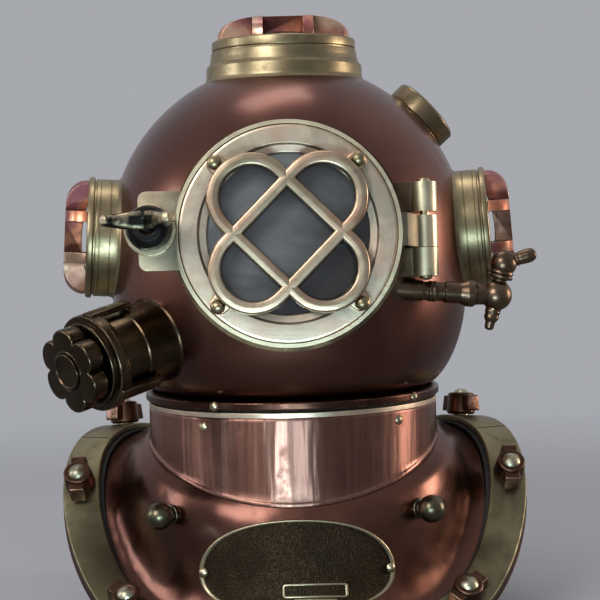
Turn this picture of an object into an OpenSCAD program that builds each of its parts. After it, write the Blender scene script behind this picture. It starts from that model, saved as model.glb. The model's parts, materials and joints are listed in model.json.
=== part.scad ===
// Diving helmet: a spun copper bonnet on a copper breastplate, with brass fittings.
// Millimetres. +Z is up, the faceplate looks along -Y, and z = 0 is where the rim stands.

/* [Breastplate] */
// Half the width across the rim studs
rim_half_w = 168; // [155:0.5:174]
// Half the depth across the rim studs
rim_half_d = 150; // [138:1:162]
// How far the rim climbs from the bibs to the shoulders
saddle_rise = 61; // [45:1:66]
// Slope of the rim flange at the middle of each bib
bib_slope = 52; // [44:1:58]
// Thickness of the copper sheet
sheet_t = 2.2; // [1.6:0.1:3]
// Outer radius of the neck, without its collar
neck_r = 111; // [107:0.5:112]
// Height of the top of the neck
neck_top = 173; // [168:1:178]
// Thickness of the polished collar round the neck
collar_t = 3.6; // [2.4:0.2:5]

/* [Straps] */
// Width of the rim straps
strap_w = 29; // [24:1:32]
// Thickness of the rim straps
strap_t = 5; // [3.5:0.5:6.5]
// Thickness of the rim gasket under the straps
rim_gasket_t = 3; // [2:0.5:4]
// Radius of the rim studs
stud_r = 6.8; // [5:0.2:7.6]
// Number of rim studs
stud_count = 12; // [8:4:12]
// Radius of the rim nuts at their foot
nut_r = 12; // [10.5:0.5:13]
// Height of the rim nuts
nut_h = 18; // [14:1:20]

/* [Nameplate] */
// Width of the oval nameplate
plate_w = 136; // [110:1:140]
// Height of the oval nameplate
plate_h = 70; // [56:1:72]

/* [Bonnet] */
// Outer radius of the dome
dome_r = 142; // [138:0.5:145]
// Height of the dome's centre
dome_z = 297; // [292:1:302]
// Radius of the bonnet where it meets its neck ring
dome_foot_r = 111; // [108:0.5:113]
// Wall of the dome
dome_wall = 2.2; // [1.6:0.1:3]
// Outer radius of the bonnet's neck ring
neck_flange_r = 117; // [116:0.5:120]

/* [Faceplate] */
// Outer radius of the hinged faceplate
door_r = 80.5; // [76:0.5:82]
// Clear radius of the faceplate's glass
door_sight_r = 57; // [50:0.5:58]
// Thickness of the faceplate casting
door_t = 17; // [15:0.5:19]
// Thickness of the faceplate's glass
door_glass_t = 6.5; // [5:0.5:7]
// How far inside the dome's radius the seat's face lies
seat_inset = 2; // [0:0.5:4]
// Width of the guard's bars
guard_bar_w = 9.8; // [8:0.2:11]
// Radius of the guard loops' ends, at the middle of the bar
guard_loop_r = 27; // [24:0.5:28]
// Distance of the loops' end centres from the middle
guard_loop_reach = 35.5; // [32:0.5:37]
// Radius of the hinge knuckles
knuckle_r = 9.4; // [8:0.2:9.6]
// Radius of the hinge pin
hinge_pin_r = 3.5; // [2.5:0.1:4.5]

/* [Clamp] */
// Radius of the clamp bolt
clamp_bolt_r = 4.5; // [3.5:0.1:5]
// Radius of the wing nut's hub
wing_hub_r = 14.5; // [12:0.5:15]
// Length of each wing from the bolt's axis
wing_reach = 33; // [27:1:34]

/* [Windows] */
// Height at which the sight axes cross the dome's axis
sight_z = 294; // [290:1:298]
// Upward tilt of the sight axes
sight_tilt = 4; // [2:0.5:5]
// Direction of the side windows, from the front
side_azimuth = 83.5; // [80:0.5:88]
// Outer radius of the side windows' bodies
side_body_r = 46.2; // [44:0.2:47]
// Outer radius of the top window's foot
top_body_r = 62; // [60:0.5:64]
// Thickness of the window glasses
glass_t = 6; // [4:0.5:6.5]
// Height of the barred guards over the windows
guard_h = 17; // [14:0.5:20]
// Width of the bars in the window guards
window_bar_w = 8; // [6:0.5:9]

/* [Valves] */
// Radius of the exhaust valve's foot and collar
exhaust_r = 36; // [34:0.5:38]
// Radius of the exhaust valve's inner barrel
exhaust_barrel_r = 30; // [27:0.5:31]
// Radius of the exhaust handwheel over its lobes
exhaust_wheel_r = 31; // [28:0.5:32]
// Outer radius of the receiver cup
cup_r = 28.5; // [26:0.5:30]
// Radius of the threaded ends of the goosenecks
gooseneck_thread_r = 13.5; // [11:0.5:14]
// Radius of the spitcock's ball
spitcock_ball_r = 11.5; // [10:0.5:12]

/* [Hidden] */
$fn = 64;

// Distance from the dome's axis to the seat's face
seat_reach = dome_r - seat_inset;

// Clearances
run_gap = 0.06;
seat_gap = 0.1;
seam_gap = 0.4;
facet_gap = 0.15;
nut_lift = 0.75;
washer_gap = 0.3;

// Colours
copper = "sienna";
polished_copper = "rosybrown";
brass = "darkkhaki";
aged_brass = "#7d6f4a";
dark_bronze = "#3a322a";
guard_copper = "#c07a5c";
rubber = "#1c1a19";
glass_grey = "#4d5355";

// Breastplate layout
rim_base_z = 11.7;
half_strap = strap_w / 2;
flange_half = half_strap + 0.8;
collar_r = neck_r + seat_gap + collar_t;
lip_r = collar_r + 1.2;
lip_h = 3.4;
ledge_r = lip_r + 0.4;
ring_top_t = 4;
collar_top = neck_top - ring_top_t;
thread_bore_r = 100.08;
thread_root_r = neck_r - sheet_t - seat_gap - 4.4;
spigot_r = thread_bore_r - run_gap;
lug_count = 4;
lug_angle = 40;
lug_h = 7;
lug_z = neck_top - 24;
neck_gasket_t = 2;
bonnet_base_z = neck_top + neck_gasket_t;
hem_z = bonnet_base_z + 8.8;
saddle_steps = 72;
saddle_rows = 11;

// Plan and height of the stud line, by an angle that runs from the front to the right
function waves(shape, t) = [for (k = [0:len(shape) - 1]) shape[k] * cos(k * t)] * [for (k = shape) 1];
rim_wave = [0.885, -0.419, -0.972, 0.392, 0.108, 0.063, -0.021, -0.036];
function rim_x(t) = rim_half_w * (0.954 * sin(t) + 0.075 * sin(2 * t) - 0.006 * sin(3 * t) - 0.052 * sin(4 * t));
function rim_y(t) = rim_half_d * (0.107 - cos(t) - 0.1 * cos(2 * t));
function rim_at(t) = [rim_x(t), rim_y(t), rim_base_z + saddle_rise * waves(rim_wave, t)];
function unit(v) = v / norm(v);
function rim_tangent(t) = unit(rim_at(t + 0.5) - rim_at(t - 0.5));
function rim_slope(t) = bib_slope * pow(abs(cos(t)), 1.5);
// Across the flange, outwards and down, square to the rim's own direction
function rim_outward(t) =
  let (
    run = rim_tangent(t),
    flat = unit([run.y, -run.x, 0]),
    lean = [flat.x * cos(rim_slope(t)), flat.y * cos(rim_slope(t)), -sin(rim_slope(t))]
  )
  unit(lean - (lean * run) * run);
function rim_normal(t) = cross(rim_outward(t), rim_tangent(t));
function rim_point(t, across, up) = rim_at(t) + across * rim_outward(t) + up * rim_normal(t);
function standing(p) = [p.x, p.y, max(p.z, 0)];

// Height at which the saddle meets the neck, and the neck's own angle for a rim angle
function neck_angle(t) = t + 10 * sin(t) - 2 * sin(2 * t);
function neck_foot_z(a) = collar_top - 33 - 25 * cos(a) - 8 * cos(2 * a);
function around(r, a, z) = [r * sin(a), -r * cos(a), z];
function neck_slope(a) = 14 + 50 * pow(abs(cos(a)), 2);

// Copper surface from the neck (0) to the inner edge of the flange (1)
function saddle_at(t, v) =
  let (
    a = neck_angle(t),
    from = around(ledge_r, a, neck_foot_z(a)),
    to = rim_point(t, -flange_half, 0),
    span = norm(to - from),
    leave = span * [sin(a) * cos(neck_slope(a)), -cos(a) * cos(neck_slope(a)), -sin(neck_slope(a))],
    land = span * rim_outward(t)
  )
  (2 * pow(v, 3) - 3 * pow(v, 2) + 1) * from + (pow(v, 3) - 2 * pow(v, 2) + v) * leave
  + (3 * pow(v, 2) - 2 * pow(v, 3)) * to + (pow(v, 3) - pow(v, 2)) * land;
function saddle_normal(t, v) =
  unit(cross(saddle_at(t, v + 0.01) - saddle_at(t, v - 0.01), saddle_at(t + 0.5, v) - saddle_at(t - 0.5, v)));
function saddle_point(t, v, up) = saddle_at(t, v) + up * saddle_normal(t, v);

// Solid through a list of rings of points, closed on itself or with flat ends
module skin(rings, closed, crossed = false) {
  n = len(rings);
  m = len(rings[0]);
  last = closed ? n - 1 : n - 2;
  sides = [
    for (i = [0:last], j = [0:m - 1])
      let (k = (i + 1) % n, l = (j + 1) % m)
      each crossed
        ? [[i * m + j, i * m + l, k * m + j], [i * m + l, k * m + l, k * m + j]]
        : [[i * m + j, i * m + l, k * m + l], [i * m + j, k * m + l, k * m + j]]
  ];
  ends = closed ? [] : [[for (j = [m - 1:-1:0]) j], [for (j = [0:m - 1]) (n - 1) * m + j]];
  polyhedron(points = [for (ring = rings) each ring], faces = concat(sides, ends), convexity = 8);
}

// Moves and turns children so that their Z runs outwards along a direction from the front
module aim(z, azimuth, tilt) {
  translate([0, 0, z]) rotate([90 - tilt, 0, azimuth]) children();
}

module face_frame() {
  aim(sight_z, 0, sight_tilt) children();
}

// Stands children on the rim at an angle, with Z along the flange's normal and X along the rim
module on_rim(t, up) {
  x = rim_tangent(t);
  z = rim_normal(t);
  y = cross(z, x);
  p = rim_point(t, 0, up);
  multmatrix([
    [x.x, y.x, z.x, p.x],
    [x.y, y.y, z.y, p.y],
    [x.z, y.z, z.z, p.z]
  ]) children();
}

// Stands children on the copper, with Z along the surface's normal
module on_saddle(t, v, up) {
  z = saddle_normal(t, v);
  x = unit(saddle_at(t + 0.5, v) - saddle_at(t - 0.5, v));
  y = cross(z, x);
  p = saddle_point(t, v, up);
  multmatrix([
    [x.x, y.x, z.x, p.x],
    [x.y, y.y, z.y, p.y],
    [x.z, y.z, z.z, p.z]
  ]) children();
}

module ring(outer, inner, h) {
  difference() {
    cylinder(r = outer, h = h);
    translate([0, 0, -1]) cylinder(r = inner, h = h + 2);
  }
}

// Dome-headed rivet or screw that stands on z = 0
module dome_head(r, h) {
  rotate_extrude() intersection() {
    translate([0, h - (r * r + h * h) / (2 * h)]) circle(r = (r * r + h * h) / (2 * h), $fn = 96);
    square([r, h]);
  }
}

function stud_angle(i) = (i + 0.5) * 360 / stud_count;

// Breastplate

module breastplate() {
  rows = [for (i = [0:saddle_rows]) i / saddle_rows];
  rings = [
    for (s = [0:saddle_steps - 1])
      let (
        t = -s * 360 / saddle_steps,
        a = neck_angle(t),
        foot = neck_foot_z(a),
        outside = concat(
          [around(neck_r, a, collar_top), around(neck_r, a, foot)],
          [for (v = rows) saddle_at(t, v)],
          [standing(rim_point(t, flange_half, 0))]
        ),
        inside = concat(
          [standing(rim_point(t, flange_half, -sheet_t))],
          [for (i = [saddle_rows:-1:1]) saddle_point(t, rows[i], -sheet_t)],
          [around(neck_r, a, foot - sheet_t), around(neck_r - sheet_t, a, foot - sheet_t)],
          [around(neck_r - sheet_t, a, collar_top)]
        )
      )
      concat(outside, inside)
  ];
  color(copper) difference() {
    skin(rings, true);
    for (i = [0:stud_count - 1]) on_rim(stud_angle(i), -10) cylinder(r = stud_r + 0.3, h = 20, $fn = 32);
  }
}

module breast_neck_ring() {
  color(brass) {
    translate([0, 0, neck_top - 54]) ring(thread_root_r + 4.4 - facet_gap, thread_root_r, 54 - ring_top_t);
    translate([0, 0, collar_top]) ring(collar_r, thread_root_r, ring_top_t);
    for (i = [0:lug_count - 1])
      translate([0, 0, lug_z + lug_h + 0.3]) rotate([0, 0, i * 360 / lug_count - lug_angle / 2])
        rotate_extrude(angle = lug_angle, $fn = 128)
          translate([thread_bore_r, 0]) square([thread_root_r - thread_bore_r + 0.5, 8]);
  }
}

module neck_collar() {
  rings = [
    for (s = [0:saddle_steps - 1])
      let (a = -s * 360 / saddle_steps, foot = neck_foot_z(a) + seat_gap, inner = neck_r + seat_gap)
      [
        around(inner, a, collar_top - seat_gap), around(inner, a, foot), around(lip_r, a, foot),
        around(lip_r, a, foot + lip_h - 1), around(collar_r, a, foot + lip_h),
        around(collar_r, a, collar_top - seat_gap)
      ]
  ];
  color(polished_copper) difference() {
    skin(rings, true);
    collar_rivet_places() translate([0, 0, -10]) cylinder(r = 2, h = 20, $fn = 32);
  }
}

collar_rivet_z = neck_top - 11;
collar_rivet_angles = [-36, 44, 144, 224];
module collar_rivet_places() {
  for (a = collar_rivet_angles)
    translate([0, 0, collar_rivet_z]) rotate([90, 0, a])
      translate([0, 0, collar_r]) children();
}

module collar_rivets() {
  color(brass) collar_rivet_places() {
    translate([0, 0, 0.15]) dome_head(3.8, 2);
    translate([0, 0, -collar_t + 0.2]) cylinder(r = 1.9, h = collar_t + 0.2, $fn = 32);
  }
}

module neck_gasket() {
  color(rubber) translate([0, 0, neck_top]) ring(110, 104.5, neck_gasket_t);
}

// Straps and their gasket follow the rim

module rim_band(from, to, inner, outer, low, high, chamfer) {
  step = 360 / saddle_steps;
  rings = [
    for (t = concat([from], [for (i = [floor(from / step) + 1:ceil(to / step) - 1]) i * step], [to]))
      [
        for (p = [
          [inner, low], [inner, high - chamfer], [inner + chamfer, high],
          [outer - chamfer, high], [outer, high - chamfer], [outer, low]
        ]) rim_point(t, p[0], p[1])
      ]
  ];
  difference() {
    skin(rings, false, true);
    for (i = [0:stud_count - 1])
      if (stud_angle(i) > min(from, to) && stud_angle(i) < max(from, to))
        on_rim(stud_angle(i), -10) cylinder(r = stud_r + 0.3, h = 30, $fn = 32);
  }
}

module rim_gasket() {
  rings = [
    for (s = [0:saddle_steps - 1])
      let (t = s * 360 / saddle_steps)
      [
        for (p = [
          [-half_strap - 3, 0.9], [-half_strap - 3, rim_gasket_t],
          [half_strap, rim_gasket_t], [half_strap, 2 * seat_gap]
        ]) rim_point(t, p[0], p[1])
      ]
  ];
  color(rubber) difference() {
    skin(rings, true);
    for (i = [0:stud_count - 1]) on_rim(stud_angle(i), -10) cylinder(r = stud_r + 0.3, h = 20, $fn = 32);
  }
}

// Half the gap between two straps, as an angle of the rim
strap_seam = 0.15;
strap_low = rim_gasket_t + 2 * seat_gap;
strap_high = strap_low + strap_t;
module strap(quarter) {
  color(brass)
    rim_band(quarter * 90 + strap_seam, quarter * 90 + 90 - strap_seam,
      -half_strap, half_strap, strap_low, strap_high, 0.9);
}
module strap_front_right() { strap(0); }
module strap_back_right() { strap(1); }
module strap_back_left() { strap(2); }
module strap_front_left() { strap(3); }

stud_h = strap_high + 0.35 + nut_h + 4;
module rim_studs() {
  color(brass)
    for (i = [0:stud_count - 1]) on_rim(stud_angle(i), 0) {
      translate([0, 0, -sheet_t - 3.9]) cylinder(r = stud_r + 1.8, h = 3, $fn = 48);
      translate([0, 0, -sheet_t - 1]) cylinder(r = stud_r, h = stud_h + sheet_t + 1 - 3.5, $fn = 48);
      translate([0, 0, stud_h - 3.5]) dome_head(stud_r, 3.5);
    }
}

ear_reach = nut_r + 6.5;
ear_w = 12;
ear_h = 13;
module rim_nut() {
  difference() {
    union() {
      rotate_extrude() polygon([[0, 0], [nut_r - 2, 0], [nut_r, 1.4], [nut_r - 1.2, nut_h], [0, nut_h]]);
      for (side = [-1, 1]) scale([side, 1, 1])
        translate([0, ear_w / 2, 0]) rotate([90, 0, 0]) linear_extrude(ear_w)
          polygon([[0, 3], [ear_reach, 3], [ear_reach - 2.2, 3 + ear_h], [0, 3 + ear_h]]);
    }
    translate([0, 0, -1]) cylinder(r = stud_r + 0.15, h = nut_h + 2, $fn = 48);
  }
}

module rim_nuts() {
  color(dark_bronze)
    for (i = [0:stud_count - 1]) on_rim(stud_angle(i), strap_high + nut_lift) rim_nut();
}

// Nameplate, bent to the bib

plate_v = 0.52;
plate_droop = 0.085;
plate_t = 1.6;
plate_rim_t = 2.8;
plate_lift = 0.55;
// Point of the bib for a place on the plate, by its own width and height in millimetres
function bib_point(p, q, up) =
  let (
    t = p / norm(saddle_at(0.5, plate_v) - saddle_at(-0.5, plate_v)),
    v = plate_v - q / norm(saddle_at(0, plate_v + 0.05) - saddle_at(0, plate_v - 0.05)) / 10
      + plate_droop * pow(2 * p / plate_w, 2)
  )
  saddle_point(t, v, up);
module nameplate() {
  around_steps = 48;
  profile = [
    [0.2, plate_t], [0.4, plate_t], [0.6, plate_t], [0.78, plate_t], [0.92, plate_t], [0.93, plate_rim_t],
    [0.985, plate_rim_t], [1, plate_rim_t - 0.6], [1, 0], [0.86, 0], [0.72, 0], [0.58, 0], [0.44, 0], [0.3, 0],
    [0.15, 0]
  ];
  m = len(profile);
  edge = function (s, k) [
    k * plate_w / 2 * cos(s * 360 / around_steps),
    k * plate_h / 2 * sin(s * 360 / around_steps)
  ];
  points = concat(
    [bib_point(0, 0, plate_lift + plate_t), bib_point(0, 0, plate_lift)],
    [
      for (s = [0:around_steps - 1], f = profile)
        let (e = edge(s, f[0])) bib_point(e.x, e.y, plate_lift + f[1])
    ]
  );
  faces = [
    for (s = [0:around_steps - 1])
      let (a = 2 + s * m, b = 2 + ((s + 1) % around_steps) * m)
      each concat(
        [[0, b, a], [1, a + m - 1, b + m - 1]],
        [for (j = [0:m - 2]) each [[a + j, b + j, b + j + 1], [a + j, b + j + 1, a + j + 1]]]
      )
  ];
  color(aged_brass) polyhedron(points = points, faces = faces, convexity = 6);
}

module nameplate_rivets() {
  color(brass)
    for (side = [-1, 1])
      let (
        c = bib_point(side * (plate_w / 2 - 3.6), 0, plate_lift + plate_rim_t + 0.12),
        out = unit(bib_point(side * (plate_w / 2 - 3.6), 0, 5) - bib_point(side * (plate_w / 2 - 3.6), 0, 0))
      )
      translate(c) rotate([90 - asin(out.z), 0, atan2(out.x, -out.y)]) dome_head(4, 2.4);
}

lanyard_t = 42;
lanyard_v = 0.28;
lanyard_ball_r = 10.4;
module lanyard_studs() {
  color(aged_brass)
    for (side = [-1, 1]) on_saddle(side * lanyard_t, lanyard_v, 0.4) {
      cylinder(r = 8, h = 1.6);
      cylinder(r = 5, h = 6);
      translate([0, 0, 12]) sphere(r = lanyard_ball_r);
    }
}

// Bonnet

dome_drop = dome_z - hem_z;
dome_fall = function (k) pow(1 - pow(k, 3), 0.74);
// Outline of the dome from its crown to its hem, drawn in by a wall
function dome_outline(wall) = concat(
  [for (a = [0:5:90]) [(dome_r - wall) * sin(a), dome_z + (dome_r - wall) * cos(a)]],
  [
    for (k = [0.12, 0.25, 0.37, 0.48, 0.58, 0.67, 0.75, 0.82, 0.88, 0.93, 0.97, 1])
      [dome_foot_r - wall + (dome_r - dome_foot_r) * dome_fall(k), dome_z - dome_drop * k]
  ]
);

module dome_solid(wall) {
  rotate_extrude($fn = 128) polygon(concat(dome_outline(wall), [[0, hem_z]]));
}

cup_azimuth = 95;
cup_tilt = 42;
exhaust_azimuth = -47;
exhaust_tilt = -12.3;
exhaust_at = [0, 0, dome_z] + (dome_r + 11.8966) * unit([-104.4, -88.4, -70.5]);
exhaust_port_r = 22;
spitcock_azimuth = 94.5;
spitcock_tilt = -5;
spitcock_at = [0, 0, dome_z] + (dome_r - 2.7377) * unit([75, -112, -35]);
spitcock_foot_r = 7.6;
spitcock_lean = 14;
gooseneck_azimuth = 155;
gooseneck_tilt = 12;
gooseneck_bore_r = 8;
face_port_r = 62;
side_port_r = 37;
cup_port_r = 24;

module exhaust_frame() {
  translate(exhaust_at) rotate([90 - exhaust_tilt, 0, exhaust_azimuth]) children();
}
module spitcock_frame() {
  translate(spitcock_at) rotate([90 - spitcock_tilt, 0, spitcock_azimuth]) children();
}
module gooseneck_frame(side) {
  aim(dome_z, side * gooseneck_azimuth, gooseneck_tilt) children();
}
module side_frame(side) {
  aim(sight_z, side * side_azimuth, sight_tilt) children();
}

module bonnet() {
  color(copper) difference() {
    rotate_extrude($fn = 128)
      polygon(concat(
        dome_outline(0),
        [for (i = [len(dome_outline(dome_wall)) - 1:-1:0]) dome_outline(dome_wall)[i]]
      ));
    face_frame() cylinder(r = face_port_r, h = dome_r + 10);
    for (side = [-1, 1]) side_frame(side) cylinder(r = side_port_r, h = dome_r + 10);
    translate([0, 0, dome_z]) cylinder(r = top_port_r, h = dome_r + 10);
    aim(dome_z, cup_azimuth, cup_tilt) cylinder(r = cup_port_r, h = dome_r + 10);
    exhaust_frame() translate([0, 0, -40]) cylinder(r = exhaust_port_r, h = 60);
    spitcock_frame() translate([0, 0, -25]) cylinder(r = 3.5, h = 60, $fn = 32);
    for (side = [-1, 1]) gooseneck_frame(side) translate([0, 0, 100]) cylinder(r = gooseneck_bore_r, h = 60);
  }
}

module bonnet_neck_ring() {
  spigot_low = lug_z - 4;
  color(brass) {
    rotate_extrude($fn = 128) polygon([
      [94, spigot_low], [spigot_r, spigot_low], [spigot_r, bonnet_base_z],
      [neck_flange_r - 0.8, bonnet_base_z], [neck_flange_r, bonnet_base_z + 0.8],
      [neck_flange_r, bonnet_base_z + 5.4], [neck_flange_r - 1, bonnet_base_z + 6.2],
      [dome_foot_r, hem_z], [94, hem_z]
    ]);
    for (i = [0:lug_count - 1])
      translate([0, 0, lug_z]) rotate([0, 0, i * 360 / lug_count - lug_angle / 2])
        rotate_extrude(angle = lug_angle, $fn = 128)
          translate([spigot_r - 0.5, 0]) square([thread_root_r - spigot_r - 0.3, lug_h]);
  }
}

neck_screw_angles = [-30, 52, 150, 232];
module neck_ring_screws() {
  color(brass)
    for (a = neck_screw_angles)
      translate([0, 0, bonnet_base_z + 3.1]) rotate([90, 0, a])
        translate([0, 0, neck_flange_r + 0.1]) difference() {
          dome_head(3.6, 2.2);
          translate([-4, -0.4, 1.2]) cube([8, 0.8, 2]);
        }
}

// Faceplate seat, with the fixed half of the hinge and the clamp's socket lug

hinge_x = door_r + 19;
hinge_d = seat_reach - 24;
knuckle_low = -31;
knuckle_mid_low = -10;
knuckle_mid_high = 13;
knuckle_high = 37.4;
knuckle_gap = 0.4;
knuckle_top_gap = 3;
clamp_x = -97;
clamp_y = 5.5;
lug_mid_y = 4;
lug_half_h = 28;
lug_end_x = -105.5;
door_back = seat_reach + 1;
door_front = door_back + door_t;
clamp_socket_reach = seat_reach - 16;
seat_r = door_r + 3;
seat_depth = 50;
clamp_block_l = 45;

module faceplate_seat() {
  color(aged_brass) difference() {
    union() {
      face_frame() {
        translate([0, 0, seat_reach - seat_depth]) cylinder(r = seat_r, h = seat_depth, $fn = 128);
        for (span = [[knuckle_low, knuckle_mid_low - knuckle_gap], [knuckle_mid_high + knuckle_top_gap, knuckle_high]])
          translate([0, span[0], 0]) {
            translate([hinge_x, 0, hinge_d]) rotate([-90, 0, 0]) cylinder(r = knuckle_r, h = span[1] - span[0]);
            translate([60, 0, hinge_d - 14]) cube([hinge_x - 60, span[1] - span[0], 14]);
          }
        translate([clamp_x - 9, clamp_y - 15, clamp_socket_reach + 6 - clamp_block_l]) cube([40, 30, clamp_block_l]);
      }
    }
    face_frame() {
      translate([0, 0, 80]) cylinder(r = face_port_r, h = 80, $fn = 128);
      translate([hinge_x, -60, hinge_d]) rotate([-90, 0, 0]) cylinder(r = hinge_pin_r + run_gap, h = 120, $fn = 48);
      translate([clamp_x, clamp_y, clamp_socket_reach - 8]) cylinder(r = clamp_bolt_r + 1.4, h = 30, $fn = 48);
    }
    spitcock_frame() translate([0, 0, -30]) cylinder(r = spitcock_foot_r + seam_gap, h = 90);
    dome_solid(0);
  }
}

module hinge_pin() {
  color(brass) face_frame() {
    translate([hinge_x, knuckle_low - 1.6, hinge_d]) rotate([-90, 0, 0])
      cylinder(r = hinge_pin_r, h = knuckle_high - knuckle_low + 3.2, $fn = 48);
    translate([hinge_x, knuckle_high + 0.2, hinge_d]) rotate([-90, 0, 0]) dome_head(5, 3);
    translate([hinge_x, knuckle_low - 0.2, hinge_d]) rotate([90, 0, 0]) dome_head(5, 3);
  }
}

// Windows. Each piece is drawn along Z, from the dome's axis outwards.

side_dome_t = dome_r - 14;
side_step_t = dome_r - 5;
side_body_t = dome_r + 11.6;
side_bezel_t = side_body_t + 6.4;
side_bezel_r = 47.5;
top_dome_t = dome_r - 22;
top_step_t = dome_r - 2;
top_body_t = dome_r + 8.6;
top_bezel_t = top_body_t + 9;
top_bezel_r = 57;
top_glass_r = top_bezel_r - 8;
top_port_r = top_glass_r - 5;
gasket_t = 1.5;
window_seat = 1;

// Body of a window: a flanged tube with a recess for its glass
module window_body(foot_r, step_r, top_r, bore_r, glass_r, low, step, high) {
  difference() {
    rotate_extrude($fn = 128) polygon([
      [bore_r, low], [foot_r, low], [foot_r - 0.6, step], [step_r, step + 0.4], [top_r, high],
      [glass_r + 0.3, high], [glass_r + 0.3, high - glass_t - gasket_t - window_seat],
      [bore_r, high - glass_t - gasket_t - window_seat]
    ]);
    children();
  }
}

module window_gasket(bore_r, glass_r, high) {
  translate([0, 0, high - glass_t - gasket_t - window_seat]) ring(glass_r, bore_r + 0.5, gasket_t);
}

module window_glass(glass_r, high) {
  translate([0, 0, high - glass_t - window_seat]) cylinder(r = glass_r, h = glass_t, $fn = 96);
}

module window_bezel(outer, shoulder, bore_r, glass_r, low, high) {
  rotate_extrude($fn = 128) polygon([
    [bore_r, low - window_seat + seat_gap], [glass_r, low - window_seat + seat_gap], [glass_r, low + seat_gap],
    [shoulder, low + seat_gap], [shoulder, low + 1], [outer, low + 1.6], [outer - 0.5, high - 1],
    [outer - 1.5, high], [bore_r + 2, high], [bore_r, high - 2]
  ]);
}

// Guard of two bars each way, arched over the glass and rounded down to the bezel
module window_guard(r, round_r, spacing, arch_half, arch_h) {
  arch_r = (arch_half * arch_half + arch_h * arch_h) / (2 * arch_h);
  intersection() {
    rotate_extrude($fn = 128) polygon(concat(
      [[0, 0], [0, guard_h]],
      [for (a = [90:-7.5:0]) [r - round_r + round_r * cos(a), 1.5 + (guard_h - 1.5) * sin(a)]],
      [[r, 0]]
    ));
    for (turn = [0, 90], side = [-1, 1])
      rotate([0, 0, turn]) translate([0, side * spacing / 2 + window_bar_w / 2, 0]) rotate([90, 0, 0])
        linear_extrude(window_bar_w) difference() {
          translate([-r, 0]) square([2 * r, guard_h]);
          translate([0, arch_h - arch_r]) circle(r = arch_r, $fn = 256);
        }
  }
}

module side_window_body(side) {
  color(brass) difference() {
    side_frame(side)
      window_body(45, side_body_r, side_body_r, side_port_r, 42, side_dome_t - 28, side_step_t, side_body_t);
    dome_solid(0);
  }
}
module side_window_gasket(side) {
  color(rubber) side_frame(side) window_gasket(side_port_r, 42, side_body_t);
}
module side_window_glass(side) {
  color(glass_grey) side_frame(side) window_glass(42, side_body_t);
}
module side_window_bezel(side) {
  color(brass) side_frame(side)
    window_bezel(side_bezel_r, side_body_r - 1.2, side_port_r, 42, side_body_t, side_bezel_t);
}
module side_window_guard(side) {
  color(guard_copper) side_frame(side) translate([0, 0, side_bezel_t + 0.05])
    window_guard(side_bezel_r - 1.6, 17, 32, 26, 4.2);
}

module left_window_body() { side_window_body(-1); }
module left_window_gasket() { side_window_gasket(-1); }
module left_window_glass() { side_window_glass(-1); }
module left_window_bezel() { side_window_bezel(-1); }
module left_window_guard() { side_window_guard(-1); }
module right_window_body() { side_window_body(1); }
module right_window_gasket() { side_window_gasket(1); }
module right_window_glass() { side_window_glass(1); }
module right_window_bezel() { side_window_bezel(1); }
module right_window_guard() { side_window_guard(1); }

module top_frame() {
  translate([0, 0, dome_z]) children();
}
module top_window_body() {
  color(brass) difference() {
    top_frame()
      window_body(top_body_r, top_body_r - 2.6, top_bezel_r + 0.6, top_port_r, top_glass_r, top_dome_t - 20, top_step_t, top_body_t);
    dome_solid(0);
  }
}
module top_window_gasket() {
  color(rubber) top_frame() window_gasket(top_port_r, top_glass_r, top_body_t);
}
module top_window_glass() {
  color(glass_grey) top_frame() window_glass(top_glass_r, top_body_t);
}
module top_window_bezel() {
  color(brass) top_frame()
    window_bezel(top_bezel_r, top_bezel_r - 1, top_port_r, top_glass_r, top_body_t, top_bezel_t);
}
module top_window_guard() {
  color(guard_copper) top_frame() translate([0, 0, top_bezel_t + 0.05])
    window_guard(top_bezel_r - 3.2, 23, top_bezel_r - 18, top_bezel_r - 25, 5);
}

// Receiver cup and goosenecks

cup_top_t = dome_r + 10;
module receiver_cup() {
  color(aged_brass) difference() {
    aim(dome_z, cup_azimuth, cup_tilt) difference() {
      rotate_extrude($fn = 96) polygon([
        [0, cup_top_t - 27], [cup_r - 1, cup_top_t - 27], [cup_r - 1, cup_top_t - 12], [cup_r, cup_top_t - 10.5],
        [cup_r, cup_top_t - 2], [cup_r - 2.5, cup_top_t], [0, cup_top_t]
      ]);
      translate([0, 0, cup_top_t - 52]) cylinder(r = cup_port_r, h = 49);
    }
    dome_solid(0);
  }
}

gooseneck_foot_t = dome_r + 4;
gooseneck_tube_r = 11.5;
gooseneck_corner_t = gooseneck_foot_t + 40;
gooseneck_ball_r = 13;
gooseneck_bend = 45;
gooseneck_thread_l = 16;
// A gooseneck from its flange on the dome, through a ball, to its threaded end
module gooseneck(side) {
  color(brass) difference() {
    gooseneck_frame(side) difference() {
      union() {
        translate([0, 0, gooseneck_foot_t - 24]) rotate_extrude() polygon([
          [0, 0], [21, 0], [21, 25], [20, 26], [gooseneck_tube_r, 26],
          [gooseneck_tube_r, gooseneck_corner_t - gooseneck_foot_t + 24],
          [0, gooseneck_corner_t - gooseneck_foot_t + 24]
        ]);
        translate([0, 0, gooseneck_corner_t]) {
          sphere(r = gooseneck_ball_r, $fn = 96);
          gooseneck_outlet() rotate_extrude() polygon([
            [0, 0], [gooseneck_tube_r, 0], [gooseneck_tube_r, 20], [gooseneck_thread_r + 3, 21],
            [gooseneck_thread_r + 3, 25], [gooseneck_thread_r, 25], [gooseneck_thread_r, 25 + gooseneck_thread_l],
            [0, 25 + gooseneck_thread_l]
          ]);
        }
      }
      translate([0, 0, 100]) cylinder(r = gooseneck_bore_r, h = gooseneck_corner_t - 100);
      translate([0, 0, gooseneck_corner_t]) {
        sphere(r = gooseneck_bore_r + 0.5, $fn = 64);
        gooseneck_outlet() cylinder(r = gooseneck_bore_r, h = 60);
      }
    }
    dome_solid(0);
  }
}
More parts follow.
